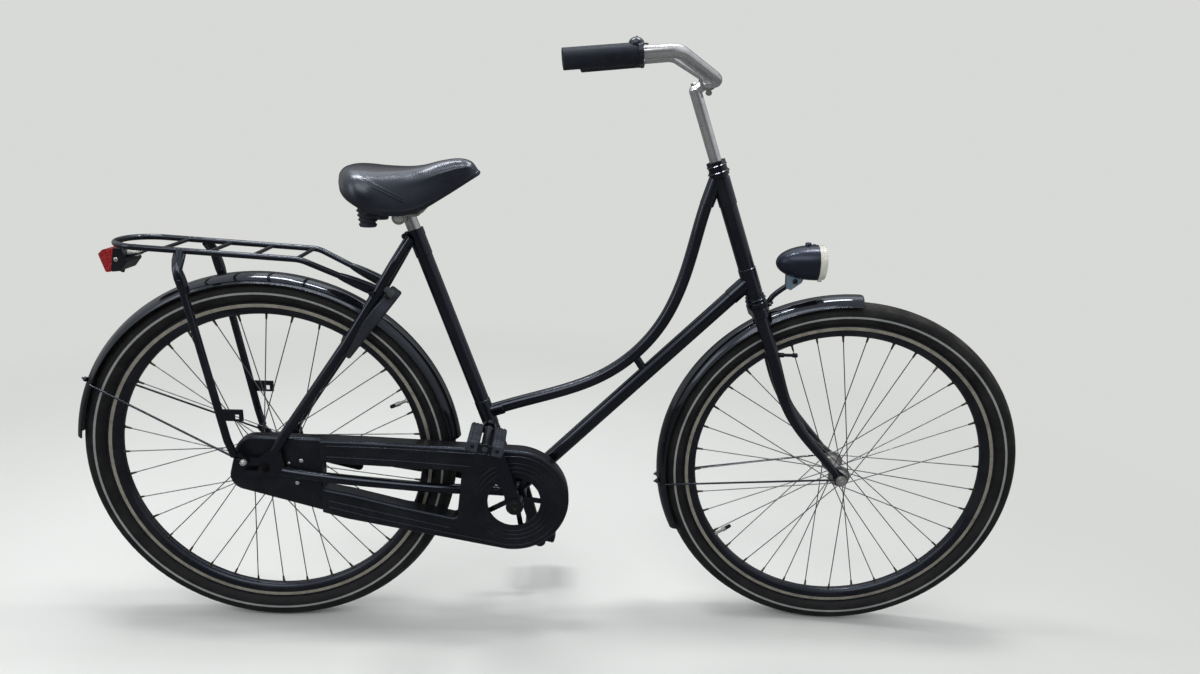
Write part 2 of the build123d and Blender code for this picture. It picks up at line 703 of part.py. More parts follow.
def headlight_lens():
    """Clear front: a deep hollow ring that stands on the shell's edge, closed by a shallow dome."""
    r, start = LAMP_RADIUS - 0.5, LAMP_LENGTH
    outer = ThreePointArc((start + 18, 0), (start + 16.6, r * 0.55), (start + 13, r - 1))
    inner = ThreePointArc((start + 16, 0), (start + 14.7, r * 0.52), (start + 11.4, r - 3))
    half = make_face([outer, Polyline(outer @ 1, (start, r), (start, r - 2), inner @ 1), inner,
                      Line(inner @ 0, outer @ 0)])
    tab = Pos(start + 7, 0, -r - 1) * Box(7, 8, 5)
    return lamp_place(largest(revolve(half, Axis.X) + (tab - revolve(lamp_cap(), Axis.X))))


def lamp_cap():
    """Half section of the lens filled solid, to trim the tab."""
    r, start = LAMP_RADIUS - 0.5, LAMP_LENGTH
    return make_face(Polyline((start, 0), (start, r - 1), (start + 13, r - 1.5), (start + 13, 0), close=True))


def headlight_bracket():
    """Flat foot under the lamp and the curved arm down to the fork crown."""
    foot = plate(make_face(Polyline((986, 762), (1020, 760), (1016, 749), (997, 733), (988, 736), close=True)), 8, 16)
    arm_path = Spline((992, 0, 741), (981.5, 0, 732), (973.5, 0, 725), (965.6, 0, 717), (960.4, 0, 708),
                      (955.5, 0, 697.5))
    arm = pipe(arm_path, 3.7)
    shell = lamp_place(revolve(lamp_outline(LAMP_RADIUS, LAMP_LENGTH), Axis.X))
    crown_zone = extrude(steer_plane(CROWN_LOW) * Circle(21), HEAD_TUBE_BOTTOM - CROWN_LOW)
    return largest(foot + arm - shell - crown_zone)


# ---- rack ---------------------------------------------------------------------------------------
RACK_FRONT = (212, 38, 708)
RACK_SLOPE = -0.038
RACK_BAR_XS = (-153, -74, 3, 79)


def rack_z(x):
    return 767 + RACK_SLOPE * x


def rack_path():
    w = RACK_HALF_WIDTH
    right = [(RACK_FRONT[0], -RACK_FRONT[1], RACK_FRONT[2]), (RACK_BEND_X, -w, rack_z(RACK_BEND_X)),
             (RACK_REAR_X, -w, rack_z(RACK_REAR_X))]
    left = [(x, -y, z) for x, y, z in reversed(right)]
    return bend(right + left, w - 4)


def rack_loop_blank():
    return pipe(rack_path(), RACK_TUBE_RADIUS)


def rack_deck():
    """The loop and its four crossbars, welded."""
    bars = [rod((x, -RACK_HALF_WIDTH, rack_z(x)), (x, RACK_HALF_WIDTH, rack_z(x)), 3.5) for x in RACK_BAR_XS]
    stays = [seat_stay_blank(side) for side in SIDES]
    return largest(rack_loop_blank() + bars - stays)


def rack_leg_blank(side):
    """Leg from the rail, bent outward, down to the dropout's ear, its foot flattened to a lug."""
    leg = pipe(bend([(-120, side * RACK_HALF_WIDTH, rack_z(-120)), (-118, side * RACK_LEG_Y, 742),
                     (-57, side * (RACK_LEG_Y - 2), 420), (-48, side * (RACK_LEG_Y - 6), 388)], 30), 7)
    lug_outline = make_hull((Pos(-48, 388) * Circle(8) + Pos(RACK_BOLT_X, RACK_BOLT_Z) * Circle(9)).edges())
    lug = on_side(plate(lug_outline, -65, 5), side)
    return largest(leg + lug)


def rack_legs():
    """Legs with the small drilled tabs that stop a bag swinging into the wheel."""
    solids = []
    for side in SIDES:
        tab_outline = Pos(-45, 472) * Rectangle(42, 22) - Pos(-35, 469) * Rectangle(8, 10)
        tab = on_side(plate(tab_outline, 2 - RACK_LEG_Y, 4), side)
        leg = rack_leg_blank(side) + tab
        leg -= rack_loop_blank()
        leg -= cross_rod(RACK_BOLT_X, RACK_BOLT_Z, -90, 90, 3)
        solids.append(largest(leg))
    return Compound(solids)


LAMP_BACK_HALF_WIDTH = 27


def tail_block(points, rounding):
    """A block across the bicycle with the given side view and rounded long edges."""
    y = LAMP_BACK_HALF_WIDTH
    block = plate(make_face(Polyline(*points, close=True)), y, 2 * y)
    return fillet(block.edges().filter_by(Axis.Y), rounding)


def tail_light():
    """Housing behind the rack, with the flat bracket that carries it under the loop."""
    body = tail_block(((-260, 722), (-252, 765), (-237, 765), (-230, 741), (-243, 724)), 2.5)
    bracket = plate(make_face(Polyline((-240, 752), (-212, 757), (-212, 754), (-240, 744), close=True)), 20, 40)
    screw = rod((-252, 0, 723), (-254, 0, 717.5), 3.5)
    return largest(body + bracket + screw - rack_loop_blank() - tail_light_lens())


def tail_light_lens():
    return tail_block(((-269, 721), (-279, 754), (-271, 762), (-252, 765), (-260, 722)), 2.5)


# ---- ring lock ----------------------------------------------------------------------------------
LOCK_ANGLE = 53
LOCK_BACK = 23              # how far its rear face is behind the axle's plane
LOCK_THICKNESS = 23


def ring_lock():
    """Horseshoe lock round the rear wheel and mudguard, straddling the seat stays."""
    ends = [Pos(side * 41, 282) * Circle(11) for side in SIDES]
    outer = make_hull((Pos(0, 370) * Circle(52) + ends[0] + ends[1]).edges())
    inner = make_hull((Pos(0, 345) * Circle(32.5) + Pos(0, 250) * Rectangle(65, 20)).edges())
    body = extrude(cross_plane(0) * (outer - inner), LOCK_THICKNESS)
    body = fillet(body.edges().filter_by(GeomType.CIRCLE).filter_by(lambda edge: edge.radius > 50), 4)
    body = Pos(*REAR_AXLE) * Rotation(0, 90 - LOCK_ANGLE, 0) * Pos(-LOCK_BACK, 0, 0) * body
    return largest(body - [seat_stay_blank(side) for side in SIDES])


# ---- chain case ---------------------------------------------------------------------------------
def case_outline():
    """Side view of the whole case: the hull of its round front end, two rear corners and two bows."""
    front = Pos(*CASE_CENTRE) * Circle(CASE_RADIUS)
    upper = Pos(-20, 380) * Circle(38)
    lower = Pos(-40, 335) * Circle(30)
    upper_bow = Pos(180, 395) * Circle(20.5)
    lower_bow = Pos(158, 269.5) * Circle(20.5)
    return make_hull((front + upper + lower + upper_bow + lower_bow).edges())


def case_gap():
    """Open space between the two arms, where the chain stay shows."""
    gap = make_face(Polyline((CASE_JOIN_X + 2, 370), (171, 366), (256, 362), (374, 357), (365, 257), (254, 281),
                             (159, 305), (CASE_JOIN_X + 2, 315), close=True))
    return fillet(gap.vertices(), 8)


def half_plane(x, ahead):
    """A big square that covers everything ahead of, or behind, x."""
    return Pos(x + (500 if ahead else -500), 300) * Rectangle(1000, 1000)


def case_block(region, outer_y, ahead, rounding):
    """Solid over one end of the case's side view, its outer edges rounded."""
    block = plate(region, CASE_INNER_Y, CASE_INNER_Y - outer_y)
    outer_face = block.faces().sort_by(Axis.Y)[0]
    block = fillet(outer_face.edges(), rounding)
    return block & plate(half_plane(CASE_JOIN_X, ahead), 0, 100)


def case_shell(region, outer_y, ahead):
    """Open-backed shell with an even wall over one end of the case."""
    block = case_block(region, outer_y, ahead, CASE_EDGE)
    cavity = case_block(offset(region, -CASE_WALL), outer_y + CASE_WALL, ahead, CASE_EDGE - CASE_WALL)
    return block - cavity


def raised_line(points):
    """A low bead along a polyline on the case's outer face."""
    bead = Part()
    for start, end in zip(points, points[1:]):
        outline = make_hull((Pos(*start) * Circle(1.5) + Pos(*end) * Circle(1.5)).edges())
        bead += plate(outline, CASE_OUTER_Y + 1, 1.8)
    return bead


def chain_case():
    """Front part: upper and lower arms and the round end with its window."""
    shell = case_shell(case_outline() - case_gap(), CASE_OUTER_Y, True)
    shell -= plate(Pos(*CASE_CENTRE) * Circle(CASE_WINDOW_RADIUS), CASE_INNER_Y, 60)
    shell += plate(Pos(*CASE_CENTRE) * ring(CASE_WINDOW_RADIUS + 4, CASE_WINDOW_RADIUS), CASE_OUTER_Y + 2, 2.9)
    shell += raised_line([(118, 398), (256, 394), (396, 389)])
    shell += raised_line([(118, 304), (158, 296), (254, 272), (351, 249)])
    return largest(shell - chain_stay_blank(-1))


def chain_case_rear():
    """Rear cap over the sprocket, inboard of the dropout."""
    shell = case_shell(case_outline(), CASE_REAR_OUTER_Y, False)
    shell -= cross_rod(0, AXLE_Z, -80, 0, 20)
    return largest(shell - chain_stay_blank(-1) - seat_stay_blank(-1))


# ---- crankset -----------------------------------------------------------------------------------
def crank_end(side):
    angle = CRANK_ANGLE if side < 0 else CRANK_ANGLE + 180
    x, _, z = BOTTOM_BRACKET
    return x + CRANK_LENGTH * cos(radians(angle)), z + CRANK_LENGTH * sin(radians(angle))


def crank_spindle():
    x, _, z = BOTTOM_BRACKET
    return cross_rod(x, z, -78, 78, SPINDLE_RADIUS)


def crank_arm(side):
    """Flat tapered arm with round bosses, and the pedal's spindle screwed into its end."""
    x, _, z = BOTTOM_BRACKET
    end_x, end_z = crank_end(side)
    arm_outline = make_hull((Pos(x, z) * Circle(14) + Pos(end_x, end_z) * Circle(10)).edges())
    arm = plate(arm_outline, -CRANK_INNER_Y, 13)
    boss = cross_rod(x, z, -57, -84, 17)
    pedal_boss = cross_rod(end_x, end_z, -CRANK_INNER_Y, -CRANK_INNER_Y - 15, 12.5)
    arm = on_side(Part() + [arm, boss, pedal_boss], side)
    return largest(arm + pedal_spindle(side) - crank_spindle())


def chainwheel():
    """Toothed wheel on a five-armed spider."""
    x, _, z = BOTTOM_BRACKET
    outline = toothed(CHAINWHEEL_TEETH, 70)
    arms = [Rot(0, 0, 72 * i - 7) * Pos(45, 0) * Rectangle(60, 10) for i in range(5)]
    outline += Circle(22)
    outline += arms
    outline -= Circle(SPINDLE_RADIUS)
    wheel = plate(Pos(x, z) * outline, -CHAIN_LINE + 1.5, 3)
    hub_ring = cross_rod(x, z, -47, -57, 18, SPINDLE_RADIUS)
    return largest(wheel + hub_ring)


PEDAL_INNER_Y = 90
PEDAL_OUTER_Y = 178


def pedal_spindle(side):
    end_x, end_z = crank_end(side)
    return on_side(cross_rod(end_x, end_z, -CRANK_INNER_Y, -(PEDAL_OUTER_Y - 4), 5), side)


def pedal(side):
    """Block pedal: centre tube, two end plates and two ribbed rubber blocks."""
    end_x, end_z = crank_end(side)
    bore = 5 + RUNNING_FIT
    tube = cross_rod(0, 0, -PEDAL_INNER_Y, -PEDAL_OUTER_Y, 8.5)
    plates = [plate(Rectangle(64, 19), -PEDAL_INNER_Y, 3), plate(Rectangle(64, 19), -PEDAL_OUTER_Y + 3, 3)]
    blocks = []
    for sign in SIDES:
        block = plate(Pos(sign * 24, 0) * Rectangle(20, 23), -PEDAL_INNER_Y - 3, PEDAL_OUTER_Y - PEDAL_INNER_Y - 6)
        for i in range(7):
            groove = Pos(sign * 24, -PEDAL_INNER_Y - 12 - 10.5 * i, 0) * (Pos(0, 0, 12) * Box(22, 3, 4)
                                                                       + Pos(0, 0, -12) * Box(22, 3, 4))
            block -= groove
        blocks.append(block)
    body = Part() + [tube, *plates, *blocks]
    body -= cross_rod(0, 0, -PEDAL_INNER_Y + 1, -PEDAL_OUTER_Y + 3, bore)
    body = Pos(end_x, 0, end_z) * Rotation(0, -PEDAL_TILT, 0) * body
    return on_side(body, side)


# ---- assembly -----------------------------------------------------------------------------------
FRAME_AND_CRANK_PIECES = (
    head_tube, down_tube, curved_tube, seat_tube, bottom_bracket_shell, chain_stays, seat_stays,
    seat_post, saddle_clamp, saddle_base, saddle_bumpers, saddle_cover, rear_axle, brake_arm,
    rear_mudguard, rear_mudguard_stays, rack_deck, rack_legs, tail_light, tail_light_lens, ring_lock,
    chain_case, chain_case_rear, crank_spindle, chainwheel,
)

STEERING_PIECES = (
    headset_nuts, fork_crown, fork_blades, front_axle, front_mudguard, front_mudguard_stays, stem,
    handlebar, grips, bell, headlight_shell, headlight_lens, headlight_bracket,
)


def export(name, shape):
    export_step(Pos(-SEAT_POINT[0], -SEAT_POINT[1], -SEAT_POINT[2]) * shape, f"parts/{name}.step")


def build():
    os.makedirs("parts", exist_ok=True)
    for make in FRAME_AND_CRANK_PIECES:
        export(make.__name__, make())
    for make in STEERING_PIECES:
        export(make.__name__, steered(make()))
    for end, place, flange_radius, flanges, make_hub in (
            ("front", place_front, FRONT_FLANGE_RADIUS, FRONT_FLANGES, front_hub),
            ("rear", place_rear, REAR_FLANGE_RADIUS, REAR_FLANGES, rear_hub)):
        export(f"{end}_tyre", place(tyre()))
        export(f"{end}_rim", place(rim()))
        export(f"{end}_hub", place(make_hub()))
        export(f"{end}_spokes", place(spokes(flange_radius, flanges)))
    export("rear_sprocket", place_rear(sprocket()))
    for side, label in zip(SIDES, ("right", "left")):
        export(f"crank_{label}", crank_arm(side))
        export(f"pedal_{label}", pedal(side))


build()
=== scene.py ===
"""Looks of the city bicycle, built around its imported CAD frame.

Metres, in the frame's own axes: +X forward, +Y to the rider's left, +Z up, origin at the rider's seat
point. Places are given in the modelling frame of the CAD source, in millimetres, and at() turns them
into the row frame.
"""

from math import atan2, cos, exp, pi, radians, sin, sqrt

import bmesh
import bpy
from mathutils import Matrix, Vector, noise


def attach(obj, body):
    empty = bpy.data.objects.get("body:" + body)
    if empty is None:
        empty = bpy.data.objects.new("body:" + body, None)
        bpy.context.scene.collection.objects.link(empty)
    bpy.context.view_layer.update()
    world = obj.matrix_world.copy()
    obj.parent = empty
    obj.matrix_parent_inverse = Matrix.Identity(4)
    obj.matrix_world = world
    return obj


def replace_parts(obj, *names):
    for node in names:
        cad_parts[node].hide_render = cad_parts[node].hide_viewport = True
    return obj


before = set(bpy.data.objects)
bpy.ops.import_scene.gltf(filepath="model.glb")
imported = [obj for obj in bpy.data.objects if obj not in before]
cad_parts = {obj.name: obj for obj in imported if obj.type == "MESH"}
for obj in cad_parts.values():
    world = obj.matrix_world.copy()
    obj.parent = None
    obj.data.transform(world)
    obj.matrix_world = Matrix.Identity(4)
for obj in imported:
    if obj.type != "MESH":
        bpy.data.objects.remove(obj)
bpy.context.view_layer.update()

# ---- sizes shared with the CAD source, in millimetres --------------------------------------------
SEAT_POINT = Vector((225, 0, 935))
AXLE_Z = 358
WHEELBASE = 1136
HEAD_ANGLE = radians(68.5)
FORK_RAKE = 60
PARKED_STEER = radians(-6.7)
UP_AXIS = Vector((-cos(HEAD_ANGLE), 0, sin(HEAD_ANGLE)))
AHEAD = Vector((sin(HEAD_ANGLE), 0, cos(HEAD_ANGLE)))
STEER_FOOT = Vector((WHEELBASE, 0, AXLE_Z)) - FORK_RAKE * AHEAD
TYRE_RADIUS = 358
TYRE_SECTION = 23.6
RIM_EDGE = 315
RIM_HALF_WIDTH = 13.5
RIM_INNER = 288.5
SIDES = (-1, 1)
BRACKET = Vector((479, 0, 296))
CRANK_LENGTH = 170
CRANK_BEARING = radians(107.5)      # of the right crank
PEDAL_BLOCK_AHEAD = 22.4
GUARD_LIFT = Vector((0, 0, 2))      # the front mudguard's centre over the axle


def at(x, y, z):
    """A point of the modelling frame, as a point of the row frame."""
    return (Vector((x, y, z)) - SEAT_POINT) / 1000


def turned(point):
    """A point of the straight-ahead steering, as the front end is parked."""
    return STEER_FOOT + Matrix.Rotation(PARKED_STEER, 3, UP_AXIS) @ (Vector(point) - STEER_FOOT)


def steer_at(x, y, z):
    """A point drawn straight ahead in the modelling frame, parked, in the row frame."""
    return at(*turned((x, y, z)))


def place_on(body):
    """The way from the modelling frame to the row frame for pieces of this body."""
    return steer_at if body in ("steering", "front_wheel") else at


def spoke(angle):
    """The direction at an angle from forward, turning up, in the bicycle's middle plane."""
    return Vector((cos(angle), 0, sin(angle)))


def full_turn(count):
    """Evenly spaced angles of one full turn."""
    return [2 * pi * k / count for k in range(count)]


def steer_point(ahead, side, up):
    """A point given by its distances from the foot of the steering axis."""
    return tuple(STEER_FOOT + ahead * AHEAD + side * Vector((0, 1, 0)) + up * UP_AXIS)


# ---- materials ------------------------------------------------------------------------------------
class Tree:
    """Adds nodes to a material's or a world's tree and links them."""

    def __init__(self, owner):
        owner.use_nodes = True
        self.tree = owner.node_tree
        self.tree.nodes.clear()

    def link(self, source, target):
        self.tree.links.new(source, target)

    def add(self, kind, inputs=None, **settings):
        """A node with its settings; each input is given a socket to link or a value to hold."""
        node = self.tree.nodes.new(kind)
        for key, value in settings.items():
            setattr(node, key, value)
        for key, value in (inputs or {}).items():
            if isinstance(value, bpy.types.NodeSocket):
                self.link(value, node.inputs[key])
            else:
                node.inputs[key].default_value = value
        return node

    def ramp(self, value, low, high, low_out=0.0, high_out=1.0):
        ends = {"From Min": low, "From Max": high, "To Min": low_out, "To Max": high_out}
        return self.add("ShaderNodeMapRange", {**ends, "Value": value}).outputs["Result"]

    def math(self, operation, a, b=0.0):
        return self.add("ShaderNodeMath", {0: a, 1: b}, operation=operation).outputs[0]


class Nodes(Tree):
    """The tree of a new material, with one principled shader."""

    def __init__(self, name):
        self.material = bpy.data.materials.new(name)
        super().__init__(self.material)
        self.out = self.add("ShaderNodeOutputMaterial")
        self.shader = self.add("ShaderNodeBsdfPrincipled")
        self.link(self.shader.outputs[0], self.out.inputs["Surface"])
        self.place = self.add("ShaderNodeTexCoord").outputs["Object"]

    def stretched(self, scale):
        return self.add("ShaderNodeMapping", {"Scale": scale, "Vector": self.place}).outputs["Vector"]

    def noise(self, scale, detail, roughness=0.55, vector=None):
        return self.add("ShaderNodeTexNoise", {"Scale": scale, "Detail": detail, "Roughness": roughness,
                                               "Vector": vector or self.place}).outputs["Fac"]

    def cells(self, scale, feature="F1"):
        inputs = {"Scale": scale, "Vector": self.place}
        return self.add("ShaderNodeTexVoronoi", inputs, feature=feature).outputs["Distance"]

    def mix(self, factor, a, b):
        """Mix of two colours, each a colour tuple or a socket."""
        a, b = ((*c, 1) if isinstance(c, tuple) else c for c in (a, b))
        return self.add("ShaderNodeMix", {"Factor": factor, 6: a, 7: b}, data_type="RGBA").outputs[2]

    def patches(self, scale, detail, roughness, low, high, vector=None):
        """A soft mask from noise: 0 where the noise is below low, 1 where it is above high."""
        return self.ramp(self.noise(scale, detail, roughness, vector), low, high)

    def over(self, colour, mask, strength, tint):
        """The colour with a tint laid over it where the mask is."""
        return self.mix(self.math("MULTIPLY", mask, strength), colour, tint)

    def bump(self, height, strength, distance, under=None):
        inputs = {"Strength": strength, "Distance": distance, "Height": height}
        if under:
            inputs["Normal"] = under
        return self.add("ShaderNodeBump", inputs).outputs["Normal"]

    def set(self, **values):
        """Constants go straight on the shader's own sockets."""
        for key, value in values.items():
            socket = self.shader.inputs[key.replace("_", " ")]
            socket.default_value = (*value, 1) if isinstance(value, tuple) else value

    def finish(self, colour=None, roughness=None, normal=None):
        for label, source in (("Base Color", colour), ("Roughness", roughness), ("Normal", normal)):
            if source:
                self.link(source, self.shader.inputs[label])
        return self.material


COOL = (0.66, 0.77, 1.0)     # tint of the gloss on black surfaces
NEUTRAL = (0.80, 0.80, 0.82)


def shade(colour, factor, lift=0.0):
    return tuple(min(1, c * factor + lift) for c in colour)


def enamel(name, base, dusty, smooth, coat):
    """Stoved paint: slight orange peel, thin dust in soft patches, sparse fine scuffs."""
    n = Nodes(name)
    n.set(Coat_Weight=coat, Coat_Roughness=0.08, IOR=1.5, Specular_Tint=COOL)
    patches = n.patches(9, 6, 0.65, 0.48, 0.78)
    scuffs = n.patches(90, 3, 0.7, 0.70, 0.80, n.stretched((1, 6, 1.4)))
    colour = n.over(n.mix(patches, base, dusty), scuffs, 0.35, shade(dusty, 2.2, 0.02))
    rough = n.math("ADD", n.ramp(patches, 0, 1, smooth, smooth + 0.16), n.math("MULTIPLY", scuffs, 0.08))
    peel = n.bump(n.noise(90, 2), 0.006, 0.0004)
    normal = n.bump(n.noise(14, 1), 0.012, 0.0015, peel)
    return n.finish(colour, rough, normal)


def metal(name, base, dull, low, high, grain=(1, 1, 1), metallic=1.0):
    """Bare or plated metal: a clean tone and a dull one, uneven polish and a fine grain."""
    n = Nodes(name)
    n.set(Metallic=metallic)
    stain = n.patches(34, 6, 0.7, 0.45, 0.72)
    pits = n.ramp(n.cells(330), 0.03, 0.10, 1.0, 0.0)
    pits = n.math("MULTIPLY", pits, n.patches(55, 2, 0.55, 0.55, 0.70))
    colour = n.over(n.mix(stain, base, dull), pits, 0.7, shade(dull, 0.25))
    lines = n.noise(500, 2, 0.5, n.stretched(grain))
    rough = n.math("ADD", n.ramp(stain, 0, 1, low, high), n.ramp(lines, 0.3, 0.7, -0.02, 0.03))
    return n.finish(colour, rough, n.bump(lines, 0.06, 0.0003))


def plastic(name, base, pale, rough, texture=700, strength=0.07):
    """Moulded plastic: a fine grained skin, rubbed paler and smoother in places."""
    n = Nodes(name)
    n.set(IOR=1.47, Specular_Tint=COOL)
    rubbed = n.patches(16, 5, 0.6, 0.45, 0.75)
    dust = n.patches(130, 3, 0.55, 0.60, 0.80)
    colour = n.over(n.mix(rubbed, base, pale), dust, 0.22, shade(pale, 1.6, 0.01))
    skin = n.bump(n.noise(texture, 3, 0.6), strength, 0.0004)
    normal = n.bump(n.noise(24, 2), 0.03, 0.001, skin)
    return n.finish(colour, n.ramp(rubbed, 0, 1, rough, rough - 0.1), normal)


def rubber(name, base, dusty, rough, tint=COOL):
    """Rubber with a dull bloom, light grit and a fine matt grain."""
    n = Nodes(name)
    n.set(IOR=1.45, Specular_IOR_Level=0.3, Specular_Tint=tint)
    bloom = n.patches(22, 6, 0.7, 0.40, 0.75)
    grit = n.patches(400, 2, 0.55, 0.62, 0.75)
    colour = n.over(n.mix(bloom, base, dusty), grit, 0.25, shade(dusty, 1.5, 0.02))
    normal = n.bump(n.noise(950, 3, 0.6), 0.22, 0.0005)
    return n.finish(colour, n.ramp(bloom, 0, 1, rough, rough + 0.18), normal)


def leatherette(name):
    """Saddle cover: small pebbled grain, a soft sheen where it is sat on, grey dust in the grain."""
    n = Nodes(name)
    n.set(IOR=1.5, Coat_Weight=0.6, Coat_Roughness=0.26, Specular_Tint=COOL)
    worn = n.patches(11, 5, 0.6, 0.42, 0.72)
    pebbles = n.ramp(n.cells(520, "SMOOTH_F1"), 0.1, 0.75)
    colour = n.mix(worn, (0.004, 0.005, 0.009), (0.011, 0.012, 0.018))
    colour = n.over(colour, pebbles, 0.3, (0.016, 0.018, 0.026))
    rough = n.ramp(worn, 0, 1, 0.30, 0.24)
    grain = n.bump(pebbles, 0.07, 0.0004)
    return n.finish(colour, rough, n.bump(n.noise(26, 2), 0.03, 0.002, grain))


def lens(name, tint):
    """Clear or coloured moulded lens with fine optic ribs."""
    n = Nodes(name)
    n.set(IOR=1.49, Transmission_Weight=0.45)
    haze = n.patches(30, 4, 0.55, 0.4, 0.8)
    colour = n.mix(haze, tint, shade(tint, 0.85, 0.05))
    return n.finish(colour, n.ramp(haze, 0, 1, 0.08, 0.20), n.bump(n.cells(240), 0.5, 0.0012))


def red_lens():
    """Red moulded lens, darker in the joints between its facets."""
    n = Nodes("red_lens_plastic")
    n.set(IOR=1.49, Transmission_Weight=0.1, Coat_Weight=0.15, Coat_Roughness=0.05, Specular_IOR_Level=0.3)
    facets = n.cells(620)
    tone = n.ramp(facets, 0.1, 0.9)
    colour = n.mix(tone, (0.46, 0.006, 0.010), (0.15, 0.003, 0.004))
    return n.finish(colour, n.ramp(tone, 0, 1, 0.10, 0.24), n.bump(facets, 0.8, 0.0015))


BLACK = (0.004, 0.0045, 0.007)
ENAMEL = enamel("black_enamel_paint", BLACK, (0.009, 0.009, 0.012), 0.14, 0.35)
GUARD_ENAMEL = enamel("mudguard_paint", (0.004, 0.0045, 0.006), (0.010, 0.010, 0.012), 0.11, 0.5)
CHROME = metal("chrome_plate", (0.74, 0.74, 0.76), (0.54, 0.54, 0.55), 0.06, 0.16, metallic=0.86)
POST_STEEL = metal("post_steel", (0.62, 0.62, 0.63), (0.42, 0.42, 0.42), 0.16, 0.30, (1, 1, 8), metallic=0.9)
BRIGHT_STEEL = metal("zinc_steel", (0.58, 0.57, 0.56), (0.34, 0.33, 0.33), 0.24, 0.45, metallic=0.8)
SPOKE_STEEL = metal("spoke_steel_wire", (0.30, 0.30, 0.31), (0.16, 0.16, 0.17), 0.28, 0.50)
BARE_RIM = metal("rim_side_alloy", (0.52, 0.49, 0.41), (0.25, 0.235, 0.20), 0.40, 0.60, metallic=0.7)
RIM_PAINT = enamel("rim_black_paint", (0.006, 0.006, 0.008), (0.016, 0.016, 0.018), 0.26, 0.2)
TYRE_RUBBER = rubber("tyre_side_rubber", (0.008, 0.008, 0.009), (0.020, 0.020, 0.020), 0.58, tint=NEUTRAL)
TREAD_RUBBER = rubber("tyre_tread_rubber", (0.013, 0.013, 0.013), (0.050, 0.048, 0.045), 0.66, tint=NEUTRAL)
STRIPE = rubber("tyre_reflex_stripe", (0.21, 0.22, 0.22), (0.31, 0.31, 0.29), 0.36)
GRIP_RUBBER = rubber("grip_rubber", (0.008, 0.009, 0.013), (0.018, 0.019, 0.025), 0.48)
BLOCK_RUBBER = rubber("block_rubber", (0.020, 0.022, 0.028), (0.052, 0.055, 0.065), 0.55)
DARK_STEEL = metal("dull_dark_steel", (0.075, 0.075, 0.078), (0.030, 0.030, 0.032), 0.30, 0.50)
CLAMP_STEEL = metal("clamp_steel", (0.50, 0.51, 0.46), (0.22, 0.22, 0.19), 0.28, 0.50, metallic=0.8)
SADDLE_SKIN = leatherette("saddle_leatherette_skin")
CASE_PLASTIC = plastic("case_plastic", (0.007, 0.007, 0.008), (0.014, 0.014, 0.016), 0.30)
LOCK_PLASTIC = plastic("lock_plastic", (0.018, 0.019, 0.022), (0.034, 0.035, 0.038), 0.42)
LOCK_TOP = plastic("lock_key_plastic", (0.045, 0.047, 0.050), (0.085, 0.087, 0.090), 0.46)
LAMP_PLASTIC = plastic("lamp_plastic", (0.010, 0.012, 0.018), (0.022, 0.025, 0.034), 0.26, 900, 0.08)
BRACKET_STEEL = enamel("bracket_paint", (0.11, 0.16, 0.20), (0.15, 0.19, 0.23), 0.35, 0.1)
CLEAR_LENS = lens("clear_lens_plastic", (0.88, 0.88, 0.80))
RED_LENS = red_lens()
BELL_BLACK = enamel("bell_black", (0.006, 0.007, 0.010), (0.030, 0.031, 0.034), 0.24, 0.3)
CLEAN_STEEL = metal("clean_zinc", (0.72, 0.72, 0.72), (0.60, 0.60, 0.60), 0.22, 0.34, metallic=0.75)
BRASS = metal("nipple_brass", (0.16, 0.14, 0.10), (0.07, 0.06, 0.05), 0.30, 0.50)
REFLECTOR = metal("reflector_silvering", (0.82, 0.82, 0.80), (0.66, 0.66, 0.64), 0.04, 0.10)

NODE_MATERIALS = {
    ENAMEL: "head_tube down_tube curved_tube seat_tube bottom_bracket_shell chain_stays seat_stays "
            "rack_deck rack_legs fork_crown fork_blades headset_nuts brake_arm crank_right crank_left "
            "chainwheel front_mudguard_stays rear_mudguard_stays headlight_bracket",
    GUARD_ENAMEL: "front_mudguard rear_mudguard",
    CHROME: "stem handlebar",
    POST_STEEL: "seat_post",
    BRIGHT_STEEL: "front_axle front_hub rear_hub",
    DARK_STEEL: "rear_axle crank_spindle rear_sprocket",
    CLAMP_STEEL: "saddle_clamp",
    SPOKE_STEEL: "front_spokes rear_spokes",
    GRIP_RUBBER: "grips",
    BLOCK_RUBBER: "pedal_right pedal_left saddle_bumpers",
    CASE_PLASTIC: "chain_case chain_case_rear bell tail_light saddle_base",
    LOCK_PLASTIC: "ring_lock",
    LAMP_PLASTIC: "headlight_shell",
    CLEAR_LENS: "headlight_lens",
    RED_LENS: "tail_light_lens",
    TYRE_RUBBER: "front_tyre rear_tyre",
    RIM_PAINT: "front_rim rear_rim",
    SADDLE_SKIN: "saddle_cover",
}
for material, names in NODE_MATERIALS.items():
    for name in names.split():
        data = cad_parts[name].data
        data.materials.clear()
        data.materials.append(material)


# ---- mesh helpers -----------------------------------------------------------------------------------
def in_scene(name, data):
    """A new object of the scene, holding the data."""
    obj = bpy.data.objects.new(name, data)
    bpy.context.scene.collection.objects.link(obj)
    return obj


def evaluated(obj):
    """The object with its modifiers applied."""
    return obj.evaluated_get(bpy.context.evaluated_depsgraph_get())


def piece(name, verts, faces, materials, body, face_materials=None, sharp=None):
    """A smooth mesh piece that rides on a body. Points are already in the row frame."""
    mesh = bpy.data.meshes.new(name)
    mesh.from_pydata([tuple(v) for v in verts], [], faces)
    for material in materials if isinstance(materials, (list, tuple)) else [materials]:
        mesh.materials.append(material)
    if face_materials:
        mesh.polygons.foreach_set("material_index", face_materials)
    mesh.validate()
    mesh.update()
    obj = in_scene(name, mesh)
    mesh.polygons.foreach_set("use_smooth", [True] * len(mesh.polygons))
    if sharp:
        mesh.set_sharp_from_angle(angle=radians(sharp))
    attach(obj, body)
    return obj


